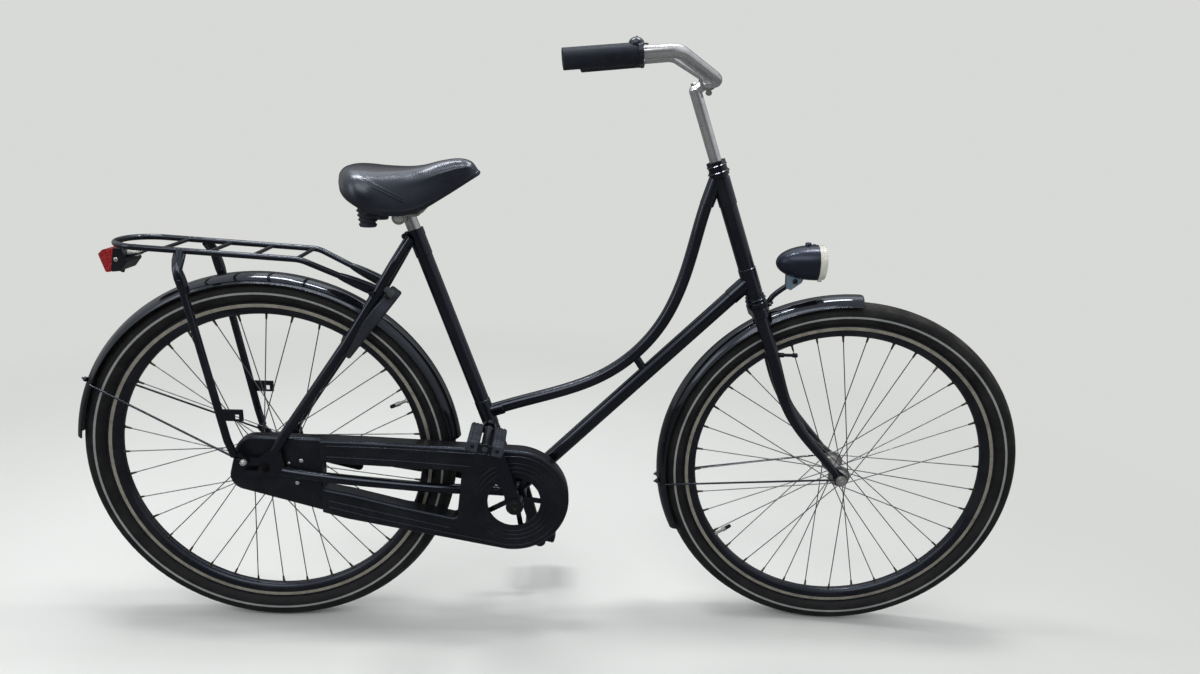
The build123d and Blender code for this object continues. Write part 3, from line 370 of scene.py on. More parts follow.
def face_outwards(mesh, merge=0.0):
    """Turn the faces outwards, once points closer than merge are joined."""
    bm = bmesh.new()
    bm.from_mesh(mesh)
    if merge:
        bmesh.ops.remove_doubles(bm, verts=bm.verts, dist=merge)
    bmesh.ops.recalc_face_normals(bm, faces=bm.faces)
    bm.to_mesh(mesh)
    bm.free()


def solid(name, verts, faces, materials, body, sharp, face_materials=None):
    """A closed piece, with edges sharp where its faces meet at more than an angle in degrees."""
    obj = piece(name, verts, faces, materials, body, face_materials, sharp)
    face_outwards(obj.data)
    obj.data.set_sharp_from_angle(angle=radians(sharp))
    return obj


def hoop_faces(segments, count):
    """Faces of a closed section carried round a full turn, each with the two section points it joins."""
    for j in range(segments):
        for i in range(count):
            i2, j2 = (i + 1) % count, (j + 1) % segments
            yield i, i2, (j * count + i, j * count + i2, j2 * count + i2, j2 * count + i)


def ring_frame(direction):
    """The direction and two more, all square to each other."""
    d = Vector(direction).normalized()
    helper = Vector((0, 0, 1)) if abs(d.z) < 0.9 else Vector((1, 0, 0))
    u = d.cross(helper).normalized()
    return d, u, d.cross(u).normalized()


def squarish(value, power):
    """A sine or cosine with its size raised to a power: below 1, a round section gets boxier."""
    return abs(value) ** power * (1 if value > 0 else -1)


def band(first, count):
    """Faces between a ring of count points and the next ring of as many."""
    for k in range(count):
        a, b = first + k, first + (k + 1) % count
        yield a, b, b + count, a + count


class Parts:
    """Collects many small turned or prismatic bits of one body into one mesh, in millimetres."""

    def __init__(self, body="frame"):
        self.verts, self.faces, self.body = [], [], body

    def skin(self, first, rings, sides):
        """Faces between rings of points already added, and a cap at each end."""
        for i in range(rings - 1):
            self.faces += band(first + i * sides, sides)
        self.faces.append(tuple(first + k for k in range(sides))[::-1])
        last = first + (rings - 1) * sides
        self.faces.append(tuple(last + k for k in range(sides)))
        return self

    def ring(self, centre, u, v, radius, sides):
        self.verts += [centre + (u * cos(a) + v * sin(a)) * radius for a in full_turn(sides)]

    def turned(self, start, direction, profile, sides):
        """A solid of revolution; the profile lists (distance along, radius)."""
        d, u, v = ring_frame(direction)
        first = len(self.verts)
        for along, radius in profile:
            self.ring(Vector(start) + d * along, u, v, radius, sides)
        return self.skin(first, len(profile), sides)

    def hex_bolt(self, start, direction, across, height, shank=0.0):
        """A hexagon head on a washer, with a bolt end through it if it has a shank."""
        r, start, way = across / sqrt(3), Vector(start), Vector(direction).normalized()
        self.turned(start, direction, [(0, across * 0.62), (0.8, across * 0.62)], 20)
        self.turned(start + way * 0.8, direction, [(0, r), (height * 0.85, r), (height, r * 0.86)], 6)
        if shank:
            self.turned(start + way * height, direction, [(0, shank), (4, shank), (4.6, shank * 0.8)], 12)

    def domed(self, start, direction, radius, height):
        """A shallow round screw head."""
        steps = [(height * sin(t * pi / 12), radius * cos(t * pi / 12)) for t in range(6)]
        return self.turned(start, direction, [(-1.0, radius), *steps], 18)

    def wire(self, points, radius, sides):
        """A round wire through the points."""
        points = [Vector(p) for p in points]
        first = len(self.verts)
        u = None
        for i, p in enumerate(points):
            d = (points[min(i + 1, len(points) - 1)] - points[max(i - 1, 0)]).normalized()
            u = ring_frame(d)[1] if u is None else (u - d * u.dot(d)).normalized()
            self.ring(p, u, d.cross(u), radius, sides)
        return self.skin(first, len(points), sides)

    def swept(self, sections):
        """A soft bar through boxy sections: (centre, half height, half width), square to the path."""
        first, sides = len(self.verts), 20
        for i, (centre, tall, wide) in enumerate(sections):
            before, after = sections[max(i - 1, 0)][0], sections[min(i + 1, len(sections) - 1)][0]
            d = (Vector(after) - Vector(before)).normalized()
            across = (Vector((0, 1, 0)) - d * d.y).normalized()
            up = d.cross(across)
            for a in full_turn(sides):
                self.verts.append(Vector(centre) + up * (tall * squarish(cos(a), 0.7))
                                  + across * (wide * squarish(sin(a), 0.7)))
        return self.skin(first, len(sections), sides)

    def sleeve(self, start, stop, radius):
        """A short tube round another one, with chamfered ends."""
        way = Vector(stop) - Vector(start)
        profile = [(0, radius - 1.3), (1.2, radius), (way.length - 1.2, radius), (way.length, radius - 1.3)]
        return self.turned(start, way, profile, 40)

    def slab(self, front, back):
        """A flat plate between two outlines with as many points."""
        first, n = len(self.verts), len(front)
        self.verts += [*front, *back]
        self.faces += [tuple(first + k for k in range(n)), tuple(first + n + k for k in range(n))[::-1]]
        self.faces += band(first, n)

    def make(self, name, material, slot, sharp=35):
        place = place_on(self.body)
        return solid(name, [place(*v) for v in self.verts], self.faces, material, self.body, sharp)


# ---- wheels -----------------------------------------------------------------------------------------
WHEELS = {      # turn and valve in degrees, flanges as places across the hub
    "front": dict(centre=(WHEELBASE, 0, AXLE_Z), body="front_wheel", turn=5, flange_radius=19,
                  flanges=(-33, 33), valve=217),
    "rear": dict(centre=(0, 0, AXLE_Z), body="rear_wheel", turn=0, flange_radius=33.5,
                 flanges=(-25, 29), valve=25),
}


def wheel_place(wheel):
    """A function from (distance across, radius, angle) to the row frame."""
    cx, _, cz = wheel["centre"]
    place = place_on(wheel["body"])

    def point(across, radius, angle):
        return place(cx + radius * cos(angle), across, cz + radius * sin(angle))
    return point


TYRE_CENTRE = TYRE_RADIUS - TYRE_SECTION    # radius of the middle of the tyre's round section
TREAD_SECTION = TYRE_SECTION - 0.08         # just inside the CAD tyre
BEAD_ZONE = 9                               # stands for the bead, past every lean of the outside


def tyre_section():
    """Outer profile of the tyre as (across, radius, lean from the top), from the right bead over the top."""
    start = atan2(RIM_EDGE - TYRE_CENTRE, RIM_HALF_WIDTH)
    steps = 58
    angles = [start + (pi - 2 * start) * i / steps for i in range(steps + 1)]
    return [(TREAD_SECTION * cos(a), TYRE_CENTRE + TREAD_SECTION * sin(a), abs(a - pi / 2)) for a in angles]


SIPE_EVERY = 8              # tread segments from one shoulder cut to the next
TYRE_SEGMENTS = 720
TREAD_LEAN, SHOULDER_LEAN, TREAD_EDGE = 0.62, 0.98, 0.95
STRIPE_RADII = (331.0, 335.2)


def tread_depth(across, lean, segment):
    """How far a point of the tyre's surface lies below the plain round section."""
    slanted = (segment + round(abs(across) * 0.55)) % SIPE_EVERY
    if lean < TREAD_LEAN:
        if 3.4 < abs(across) < 5.2:
            return 1.1
        return 0.9 if abs(across) > 5.2 and slanted == 0 else 0.0
    if lean < SHOULDER_LEAN:
        return 1.0 if slanted in (0, 1) else 0.25
    return 0.15 if 1.50 < lean < 1.68 else 0.35


def tyre(name, wheel):
    """Tyre with two grooves, slanted shoulder cuts, raised sidewall lines and a reflex stripe."""
    point = wheel_place(wheel)
    bead = [(y, RIM_EDGE + r, BEAD_ZONE) for y, r in ((-8, -3), (-11.4, -3), (-11.4, 0.3))]
    section = [(-y, r, z) for y, r, z in bead][::-1] + tyre_section() + bead
    verts, faces, zones = [], [], []
    for j, angle in enumerate(full_turn(TYRE_SEGMENTS)):
        for y, r, lean in section:
            if lean < BEAD_ZONE:
                depth = tread_depth(y, lean, j)
                out = Vector((y, r - TYRE_CENTRE)).normalized()
                y, r = y - out.x * depth, r - out.y * depth
            verts.append(point(y, r, angle))
    for i, i2, face in hoop_faces(TYRE_SEGMENTS, len(section)):
        faces.append(face)
        middle = (section[i][1] + section[i2][1]) / 2
        lean = max(section[i][2], section[i2][2])
        striped = STRIPE_RADII[0] < middle < STRIPE_RADII[1] and 0.6 < lean < BEAD_ZONE
        zones.append(2 if striped else 1 if lean < TREAD_EDGE else 0)
    skins = [TYRE_RUBBER, TREAD_RUBBER, STRIPE]
    return solid(name, verts, faces, skins, wheel["body"], 38, zones)


BARE_BAND = (304.2, 310.7)


def rim(name, wheel):
    """Box-section rim: painted black, with a bare alloy flank below the tyre."""
    point = wheel_place(wheel)
    edge, (inner, outer) = RIM_HALF_WIDTH, BARE_BAND
    half = [(11.5, RIM_EDGE - 0.2), (12.6, RIM_EDGE), (edge, RIM_EDGE - 0.9), (edge, outer), (edge, inner),
            (13.1, 301), (11.2, 296.2), (9.4, 292.8), (7.0, 290.6), (4.0, 289.0), (0, RIM_INNER)]
    section = half + [(-y, r) for y, r in half[:-1]][::-1]
    section += [(-11.5, 303), (-8, 294.6), (0, 291), (8, 294.6), (11.5, 303)]
    segments = 180
    verts = [point(y, r, angle) for angle in full_turn(segments) for y, r in section]
    faces, zones = [], []
    for i, i2, face in hoop_faces(segments, len(section)):
        faces.append(face)
        bare = all(abs(y) > edge - 0.1 and inner <= r <= outer for y, r in (section[i], section[i2]))
        zones.append(int(bare))
    return solid(name, verts, faces, [RIM_PAINT, BARE_RIM], wheel["body"], 30, zones)


SPOKES_A_SIDE = 18
SPOKE_LEAN = 60             # degrees round the hub between a spoke's two ends


def spoke_ends(wheel):
    """Where each spoke meets the rim, and the way it runs towards the hub."""
    cx, _, cz = wheel["centre"]
    step, r = 360 / SPOKES_A_SIDE, wheel["flange_radius"]
    for side, flange_y in zip(SIDES, wheel["flanges"]):
        for i in range(SPOKES_A_SIDE):
            hub_angle = radians(step * i + (step / 2 if side > 0 else 0) - wheel["turn"])
            rim_angle = hub_angle + radians(SPOKE_LEAN if i % 2 == 0 else -SPOKE_LEAN)
            hub = Vector((cx + r * cos(hub_angle), flange_y, cz + r * sin(hub_angle)))
            end = Vector((cx + RIM_INNER * cos(rim_angle), side * 2.5, cz + RIM_INNER * sin(rim_angle)))
            yield end, (hub - end).normalized()


def nipples(name, wheel):
    parts = Parts(wheel["body"])
    profile = [(0, 3.2), (1.6, 3.2), (2.2, 2.3), (6, 2.1), (11, 1.9), (13, 1.5)]
    for end, way in spoke_ends(wheel):
        parts.turned(end - way * 1.0, way, profile, 10)
    parts.make(name, BRASS, "spoke_steel")


def valve(name, wheel):
    """Valve stem with its nuts, and its rubber cap."""
    cx, _, cz = wheel["centre"]
    a = radians(wheel["valve"])
    foot = Vector((cx, 0, cz)) + (RIM_INNER + 1) * spoke(a)
    way = -spoke(a)
    stem = Parts(wheel["body"]).turned(foot, way, [(0, 5.5), (3.5, 5.5), (4, 4.6)], 6)
    profile = [(0, 3.1), (14, 3.1), (14.5, 4.6), (22, 4.6), (22.5, 3.6), (26, 3.4)]
    stem.turned(foot + way * 3, way, profile, 16).make(name + "_stem", BRIGHT_STEEL, "bright_steel")
    cap = Parts(wheel["body"]).turned(foot + way * 26, way, [(0, 3.9), (9, 3.9), (11, 3.4), (12, 2.2)], 14)
    cap.make(name + "_cap", GRIP_RUBBER, "rubber")


for end, wheel in WHEELS.items():
    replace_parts(tyre(f"{end}_tyre_tread", wheel), f"{end}_tyre")
    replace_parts(rim(f"{end}_rim_section", wheel), f"{end}_rim")
    nipples(f"{end}_nipples", wheel)
    valve(f"{end}_valve", wheel)


# ---- saddle -----------------------------------------------------------------------------------------
SADDLE_STATIONS = (
    # x, half width, bottom z, top z
    (155, 45, 897, 923), (163, 70, 886, 931.5), (177, 91, 875, 936), (200, 104, 863, 936.5),
    (225, 101, 853, 935), (270, 76, 850, 935.5), (300, 52, 858, 940), (330, 36, 876, 948.5),
    (362, 27, 897, 953), (385, 21, 913, 947), (397, 12, 921, 931),
)


def between(stations, x):
    """Station values at x, on a smooth curve through the stations."""
    n = len(stations)
    k = max(i for i in range(n - 1) if stations[i][0] <= x or i == 0)
    p1, p2 = stations[k], stations[k + 1]
    p0, p3 = stations[max(k - 1, 0)], stations[min(k + 2, n - 1)]
    t = (x - p1[0]) / (p2[0] - p1[0])
    values = []
    for c in range(1, len(p1)):
        m1 = (p2[c] - p0[c]) / (p2[0] - p0[0]) * (p2[0] - p1[0])
        m2 = (p3[c] - p1[c]) / (p3[0] - p1[0]) * (p2[0] - p1[0])
        h = ((2 * t ** 3 - 3 * t ** 2 + 1) * p1[c] + (t ** 3 - 2 * t ** 2 + t) * m1
             + (-2 * t ** 3 + 3 * t ** 2) * p2[c] + (t ** 3 - t ** 2) * m2)
        values.append(h)
    return values


ARCH_STEPS = 40             # points over one cross-section of the cover, less one


def saddle_ring(x, shrink):
    """One cross-section of the cover: dome and sides, down to its lower edges."""
    w, low, high = between(SADDLE_STATIONS, x)
    w, high = w - shrink, high - shrink
    ring = []
    for i in range(ARCH_STEPS + 1):
        c, s = cos(pi * i / ARCH_STEPS), max(sin(pi * i / ARCH_STEPS), 0)
        tuck = 1 - 0.06 * (1 - s) ** 2
        ring.append((x, w * squarish(c, 0.72) * tuck, low + (high - low) * s ** 0.80))
    return ring


def saddle_mesh(shrink):
    """Vertices, faces and the pinned vertices of the closed saddle pad, in millimetres."""
    first, last = SADDLE_STATIONS[0][0], SADDLE_STATIONS[-1][0]
    count = 62
    rings = []
    for k in range(count + 1):
        t = k / count
        x = last if k == count else first + (last - first) * (0.5 - 0.5 * cos(pi * t))
        rings.append(saddle_ring(x, shrink))
    rows = []
    for ring in rings:
        (x, y0, z0), (_, y1, z1) = ring[0], ring[-1]
        inset = min(5, abs(y0) * 0.4)
        lip = [(x, y1 + inset, z1 + 0.4), (x, y1 + inset * 1.1, z1 + 9), (x, y1 * 0.4, z1 + 10),
               (x, y0 * 0.4, z0 + 10), (x, y0 - inset * 1.1, z0 + 9), (x, y0 - inset, z0 + 0.4)]
        rows.append(ring + lip)
    verts, faces, pinned = [], [], []
    width = len(rows[0])
    for row in rows:
        for i, p in enumerate(row):
            if i >= ARCH_STEPS or i == 0:
                pinned.append(len(verts))
            verts.append(Vector(p))
    for j in range(count):
        for i in range(width):
            i2 = (i + 1) % width
            faces.append((j * width + i, (j + 1) * width + i, (j + 1) * width + i2, j * width + i2))
    for j, out in ((0, -1), (count, 1)):
        ring = verts[j * width:(j + 1) * width]
        middle = sum(ring, Vector()) / width
        inner = len(verts)
        for p in ring:
            verts.append(middle + (p - middle) * 0.62 + Vector((out * 2.6, 0, 0)))
        verts.append(middle + Vector((out * 3.4, 0, 0)))
        for i in range(width):
            i2 = (i + 1) % width
            a, b = j * width + i, j * width + i2
            quad = (a, b, inner + i2, inner + i)
            faces.append(quad if out < 0 else quad[::-1])
            cap = (inner + i, inner + i2, inner + width)
            faces.append(cap if out < 0 else cap[::-1])
    return verts, faces, pinned


CLOTH_FRAMES = 20
EVEN_ROUNDS = 24            # passes that even out the puffing, so the skin stays taut


def puff(obj, pinned, pressure, cap):
    """Blow the pad up a little with Blender's cloth, then keep each point within cap of its place."""
    start = [v.co.copy() for v in obj.data.vertices]
    group = obj.vertex_groups.new(name="held")
    group.add(pinned, 1.0, "REPLACE")
    cloth = obj.modifiers.new("cloth", "CLOTH")
    settings = cloth.settings
    settings.quality = 5
    settings.mass = 0.3
    settings.tension_stiffness = settings.compression_stiffness = 25
    settings.bending_stiffness = 2.0
    settings.vertex_group_mass = "held"
    settings.use_pressure = True
    settings.uniform_pressure_force = pressure
    settings.effector_weights.gravity = 0
    cloth.collision_settings.use_self_collision = False
    cloth.collision_settings.use_collision = False
    cloth.point_cache.frame_start, cloth.point_cache.frame_end = 1, CLOTH_FRAMES
    scene = bpy.context.scene
    for number in range(1, CLOTH_FRAMES + 1):
        scene.frame_set(number)
    shaped = evaluated(obj).to_mesh()
    moved = [v.co.copy() for v in shaped.vertices]
    obj.modifiers.remove(cloth)
    scene.frame_set(1)
    steps = [new - old for old, new in zip(start, moved)]
    steps = [step if step.length < cap else step.normalized() * cap for step in steps]
    held, near = set(pinned), [[] for _ in steps]
    for a, b in (edge.vertices for edge in obj.data.edges):
        near[a].append(b)
        near[b].append(a)
    for _ in range(EVEN_ROUNDS):
        around = [sum((steps[k] for k in ring), Vector()) * (0.7 / len(ring)) for ring in near]
        steps = [step if i in held else step * 0.3 + around[i] for i, step in enumerate(steps)]
    for vertex, old, step in zip(obj.data.vertices, start, steps):
        vertex.co = old + step
    obj.vertex_groups.remove(group)


SOFTEN_ROUNDS = 14


def subdivide(obj, levels):
    modifier = obj.modifiers.new("smooth", "SUBSURF")
    modifier.levels = modifier.render_levels = levels
    mesh = bpy.data.meshes.new_from_object(evaluated(obj))
    obj.modifiers.remove(modifier)
    obj.data = mesh


def soften(mesh, weight):
    """Relax the points where weight(place in the modelling frame) is above zero."""
    bm = bmesh.new()
    bm.from_mesh(mesh)
    chosen = [(v, weight(v.co * 1000 + SEAT_POINT)) for v in bm.verts]
    chosen = [(v, w) for v, w in chosen if w > 0]
    for _ in range(SOFTEN_ROUNDS):
        goals = [sum((e.other_vert(v).co for e in v.link_edges), Vector()) / len(v.link_edges)
                 for v, _ in chosen]
        for (v, w), goal in zip(chosen, goals):
            v.co = v.co.lerp(goal, 0.5 * w)
    bm.to_mesh(mesh)
    bm.free()


def smooth_step(value, low, high):
    t = min(max((value - low) / (high - low), 0), 1)
    return t * t * (3 - 2 * t)


def saddle():
    """Padded leatherette saddle: puffed skin, a soft flute along each side of the nose, a hem."""
    verts, faces, pinned = saddle_mesh(1.2)
    pad = piece("saddle_pad", [at(*v) for v in verts], faces, SADDLE_SKIN, "frame")
    puff(pad, pinned, pressure=4.0, cap=0.0022)
    subdivide(pad, 2)
    mesh = pad.data
    mesh.update()
    back, nose = SADDLE_STATIONS[0][0], SADDLE_STATIONS[-1][0]
    normals = [v.normal.copy() for v in mesh.vertices]
    for vertex, normal in zip(mesh.vertices, normals):
        p = vertex.co * 1000 + SEAT_POINT
        _, low, high = between(SADDLE_STATIONS, min(max(p.x, back), nose))
        level = (p.z - low) / max(high - low, 1)
        flute = smooth_step(p.x, 250, 300) * (1 - smooth_step(p.x, 372, 392))
        depth = 1.7 * flute * exp(-((level - 0.66) / 0.085) ** 2)
        line = 919 - (p.x - 200) * 0.53
        seam = smooth_step(p.x, 190, 205) * (1 - smooth_step(p.x, 268, 280)) * (abs(normal.y) > 0.25)
        depth += 0.9 * seam * (max(0, 1 - abs(p.z - line) / 1.6) + max(0, 1 - abs(p.z - line + 5) / 1.6))
        hem = 0.7 * max(0, 1 - abs(p.z - low - 7.5) / 1.3) * (abs(normal.z) < 0.9)
        dimple = 0.12 * noise.noise(vertex.co * 24)
        vertex.co -= normal * (depth + hem + dimple) / 1000
    soften(mesh, lambda p: 1 - smooth_step(p.x, 185, 240))
    mesh.polygons.foreach_set("use_smooth", [True] * len(mesh.polygons))
    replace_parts(pad, "saddle_cover")


# ---- fittings ---------------------------------------------------------------------------------------
def wheel_rim_point(centre, radius, angle, y):
    """A point at a radius and an angle in degrees round a wheel's centre."""
    a = radians(angle)
    return Vector((centre[0] + radius * cos(a), y, centre[2] + radius * sin(a)))


def frame_fittings():
    """Bolts of the frame, rack and mudguard, and the chain case's screws."""
    bright, black = Parts(), Parts()
    for side in SIDES:
        out = Vector((0, side, 0))
        bright.hex_bolt((-35, side * 70.0, 372), out, 10, 4.5, 2.6)
        bright.hex_bolt((257, side * 33, 842), out, 13, 6, 3.4)
        black.hex_bolt((209, side * 50, 704), out, 9, 4)
        black.hex_bolt((263.5, side * 13, 806), out, 9, 4, 2.5)
        foot = wheel_rim_point((0, 0, AXLE_Z), 367, 155.5, side * 16)
        black.hex_bolt(foot, foot - Vector((0, foot.y, AXLE_Z)), 8, 4, 2.2)
    black.turned((263.5, -13, 806), (0, 1, 0), [(0, 3), (26, 3)], 12)
    bright.make("frame_bolts", CLEAN_STEEL, "bright_steel")
    black.make("frame_black_bolts", ENAMEL, "black_enamel")
    screws = Parts()
    for x, z, radius in ((67, 370.3, 4.2), (57.5, 323.2, 4.0), (44, 365.1, 2.6)):
        screws.domed((x, -53.5, z), (0, -1, 0), radius, 1.8)
    screws.make("case_screws", CLEAN_STEEL, "bright_steel")


def rack_brackets():
    """Flattened sockets at the tops of the rack's legs and sleeves at its front ends."""
    sockets = Parts()
    for side in SIDES:
        legs = [((-121, 60, 766), 11, 4.0), ((-120, 69, 757), 11, 4.4), ((-119, 76, 749), 9.6, 5.4),
                ((-118, 81, 741), 8.0, 7.4), ((-114.5, 82.4, 728), 9.4, 8.0), ((-111, 82, 714), 9.4, 8.0),
                ((-108, 81.6, 702), 8.0, 7.8), ((-107.6, 81.5, 700), 7.3, 7.2)]
        sockets.swept([((x, side * y, z), a, b) for (x, y, z), a, b in legs])
        bend, end = Vector((87, side * 58, 763.7)), Vector((212, side * 38, 708))
        ends = ((0.52, 5.8, 5.8), (0.60, 7.6, 6.4), (0.74, 9.4, 6.8), (0.90, 10.4, 7.0), (1.03, 10.4, 7.0),
                (1.05, 8, 5.5))
        sockets.swept([(bend.lerp(end, t), a, b) for t, a, b in ends])
        sockets.hex_bolt((-112.5, side * 89.6, 722), (0, side, 0), 8, 3.4)
    sockets.make("rack_sockets", ENAMEL, "black_enamel", sharp=40)


MOULDING_Y = -61.7
WINDOW = Vector((477, MOULDING_Y, 296))


def case_mouldings():
    """Low mouldings on the chain case: rings round its window, a line inside its edge, two arm lines."""
    def arc(radius, angles):
        return [WINDOW + radius * spoke(a) for a in angles]

    def line(*places):
        return [Vector((x, MOULDING_Y, z)) for x, z in places]

    beads = [arc(radius, [2 * pi * k / 72 for k in range(73)]) for radius in (64, 73, 82)]
    beads += [line((118, 405.5), (250, 403), (400, 396)) + arc(96, [radians(94 - 2.5 * k) for k in range(78)])
              + line((340, 226), (200, 256), (118, 277)),
              line((118, 383), (256, 378), (392, 369)), line((118, 290), (254, 258), (351, 236))]
    mouldings = Parts()
    for bead in beads:
        mouldings.wire(bead, 1.9, 12)
    mouldings.make("case_mouldings", CASE_PLASTIC, "black_plastic", sharp=60)


LIP_REACH = 4.5


def guard_edges():
    """Rolled edges along both mudguards and the rounded lip at the front one's leading end."""
    front = Vector(WHEELS["front"]["centre"]) + GUARD_LIFT
    for label, centre, first, last, body in (("front", front, 90.5, 205.8, "steering"),
                                             ("rear", (0, 0, AXLE_Z), 8.2, 173.8, "frame")):
        edges = Parts(body)
        for side in SIDES:
            edges.wire([wheel_rim_point(centre, 352.4, first + (last - first) * k / 70, side * 28.6)
                        for k in range(71)], 1.5, 8)
        edges.make(f"{label}_guard_edges", GUARD_ENAMEL, "black_enamel", sharp=60)
    rows, steps = 6, 24
    verts, faces = [], []
    for layer in (0, 1):
        for j in range(rows + 1):
            for k in range(steps + 1):
                t = -1 + 2 * k / steps
                reach = LIP_REACH * sqrt(max(0, 1 - t * t)) * j / rows
                radius = 370 - 18 * t * t - layer * 1.6 - 1.4 * (reach / LIP_REACH) ** 2
                a = radians(90.4) - reach / 370
                verts.append(steer_at(front.x + radius * cos(a), t * 29, front.z + radius * sin(a)))
    count = (rows + 1) * (steps + 1)
    for j in range(rows):
        for k in range(steps):
            a = j * (steps + 1) + k
            b = a + steps + 1
            faces += [(a, a + 1, b + 1, b), (count + a, count + b, count + b + 1, count + a + 1)]
    for k in range(steps):
        a = rows * (steps + 1) + k
        faces.append((a, a + 1, count + a + 1, count + a))
    lip = piece("front_guard_lip", verts, faces, GUARD_ENAMEL, "steering", sharp=50)
    face_outwards(lip.data, merge=0.00005)


def tail_lamp_details():
    """Screws in the lamp's sides and the clear cable cap between the lamp and the rack."""
    screw = Parts()
    for side in SIDES:
        screw.domed((-249, side * 27.2, 745), (0, side, 0), 4.2, 1.6)
    screw.make("tail_lamp_screws", BRIGHT_STEEL, "bright_steel")
    cap = Parts()
    cap.swept([((-236, 0, 756), 3, 12), ((-234, 0, 756), 7.5, 15), ((-222, 0, 756), 7.5, 15),
               ((-216, 0, 757), 5, 12)])
    cap.make("tail_lamp_cap", CLEAR_LENS, "clear_lens", sharp=40)


def lock_key():
    """Key barrel and its collar at the ring lock's upper end."""
    key = Parts()
    way = Vector((-cos(radians(37)), 0, sin(radians(37))))
    key.turned((246, -36, 700), way, [(0, 9), (9, 9), (10, 8)], 24)
    key.turned((240, -36, 705), way, [(0, 6.5), (11, 6.5), (12, 5.6)], 24)
    key.make("lock_key_barrel", LOCK_TOP, "grey_plastic")


LAMP_TAIL = Vector((964, 0, 784))
LAMP_WAY = spoke(radians(3))
LAMP_LENGTH, LAMP_RADIUS = 78, 34


def steering_fittings():
    """Bolts of the stem and fork crown, the lamp's arm, foot and stud, and what shows inside the lamp."""
    bolts = Parts("steering")
    top = Vector(steer_point(0, 0, 809))
    bolts.hex_bolt(top + UP_AXIS * 10.2, UP_AXIS, 9, 4)
    bolts.hex_bolt(steer_point(33, -9, 811), (0, -1, 0), 9, 4, 2.4)
    bolts.hex_bolt(steer_point(33, 9, 811), (0, 1, 0), 9, 4)
    bolts.make("stem_bolts", CHROME, "bright_steel")
    black = Parts("steering")
    black.hex_bolt(steer_point(21, 0, 384), AHEAD, 10, 5, 2.6)
    axle = Vector(WHEELS["front"]["centre"])
    for side in SIDES:
        black.hex_bolt((1003, side * 9.2, 751), (0, side, 0), 8, 3.6)
        foot = wheel_rim_point(axle + GUARD_LIFT, 368, 188, side * 16)
        black.hex_bolt(foot, foot - axle - Vector((0, foot.y, 0)), 8, 4, 2.2)
    arm = ((990, 739), (981.5, 732), (973.5, 725), (965.6, 717), (960.4, 708), (956.5, 699.5))
    black.wire([(x, 0, z) for x, z in arm], 5.2, 14)
    black.make("steering_black_fittings", ENAMEL, "black_enamel")
    plates = Parts("steering")
    outline = [(986, 762), (1020, 760), (1016, 749), (997, 733), (988, 736)]
    for side in SIDES:
        plates.slab(*([Vector((x, side * y, z)) for x, z in outline] for y in (8.1, 9.2)))
    plates.make("lamp_foot_plates", BRACKET_STEEL, "black_enamel")
    root, tip = Vector(steer_point(5.7, -46, 295.1)), Vector(steer_point(46.2, -46, 281.2))
    way = (tip - root).normalized()
    stud = [(0, 5.0), (11, 4.6), (12, 3.2), (27, 3.2), (27.5, 4.4), (36, 4.4), (37, 3.4)]
    stud = Parts("steering").turned(root + way * 4, way, stud, 12)
    stud.make("fork_lamp_stud", ENAMEL, "black_enamel")
    dish = [(0, 5), (4, 14), (10, 23), (17, 30), (18.2, 31.6), (16.6, 31.6), (9, 24.6), (2.6, 15), (-1.5, 5)]
    dish = Parts("steering").turned(LAMP_TAIL + LAMP_WAY * 58, LAMP_WAY, dish, 40)
    dish.make("lamp_reflector", REFLECTOR, "chrome")
    bulb = [(0, 4.6), (7, 4.6), (8, 3.5), (11, 5), (15, 6), (19, 5), (21.5, 2.4), (22, 0.6)]
    bulb = Parts("steering").turned(LAMP_TAIL + LAMP_WAY * 56, LAMP_WAY, bulb, 18)
    bulb.make("lamp_bulb", CLEAR_LENS, "clear_lens")


def lamp_shell():
    """Smooth bullet-shaped lamp body, open at the front, with its two knobs on top."""
    across = Vector((-LAMP_WAY.z, 0, LAMP_WAY.x))
    shell = Parts("steering")
    profile = [(0.0, 0.6)]
    for k in range(1, 33):
        t = (k / 32) ** 1.6
        profile.append((LAMP_LENGTH * t, LAMP_RADIUS * sqrt(max(0, 1 - (1 - t) ** 2.15))))
    profile += [(78.4, 33.4), (78.2, 32.2), (54, 30), (52, 6)]
    shell.turned(LAMP_TAIL, LAMP_WAY, profile, 72)
    large, small = LAMP_TAIL + LAMP_WAY * 59 + across * 26, LAMP_TAIL + LAMP_WAY * 70 + across * 29
    shell.turned(large, across, [(0, 6), (10.5, 6), (12, 5.2), (12.6, 3.4)], 24)
    shell.turned(small, across, [(0, 3.5), (5.6, 3.5), (6.5, 2.6)], 18)
    obj = shell.make("lamp_shell", LAMP_PLASTIC, "grey_plastic", sharp=50)
    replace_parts(obj, "headlight_shell")


def bell():
    """Low domed bell on a band round the right grip's inner end."""
    end, corner = Vector((565, -184, 1128.5)), Vector((744, -149, 1151))
    along = (corner - end).normalized()
    stop = end + 123 * along
    parts = Parts("steering")
    parts.turned(stop - along * 8, along, [(0, 17.6), (0.6, 19.2), (8, 19.2), (8.6, 18.4)], 40)
    top = stop - along * 9.6
    dome = [(0, 11.6), (0.6, 12.5), (3, 12.5), (6, 11.5), (8.6, 9.4), (10.6, 6.4), (11.8, 2.8), (12, 1.8),
            (12.8, 1.6)]
    parts.turned(top + Vector((0, 0, 13.5)), (0, 0, 1), dome, 40)
    parts.turned(stop - along * 4 + Vector((0, 0, -18)), (0, 0, -1), [(0, 3.6), (3.4, 3.6), (4, 2.8)], 16)
    parts.wire([top + Vector(p) for p in ((10, -6, 14), (15, -9, 15.5), (19, -10, 14.5))], 1.6, 10)
    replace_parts(parts.make("bell_dome", BELL_BLACK, "black_plastic", sharp=40), "bell")


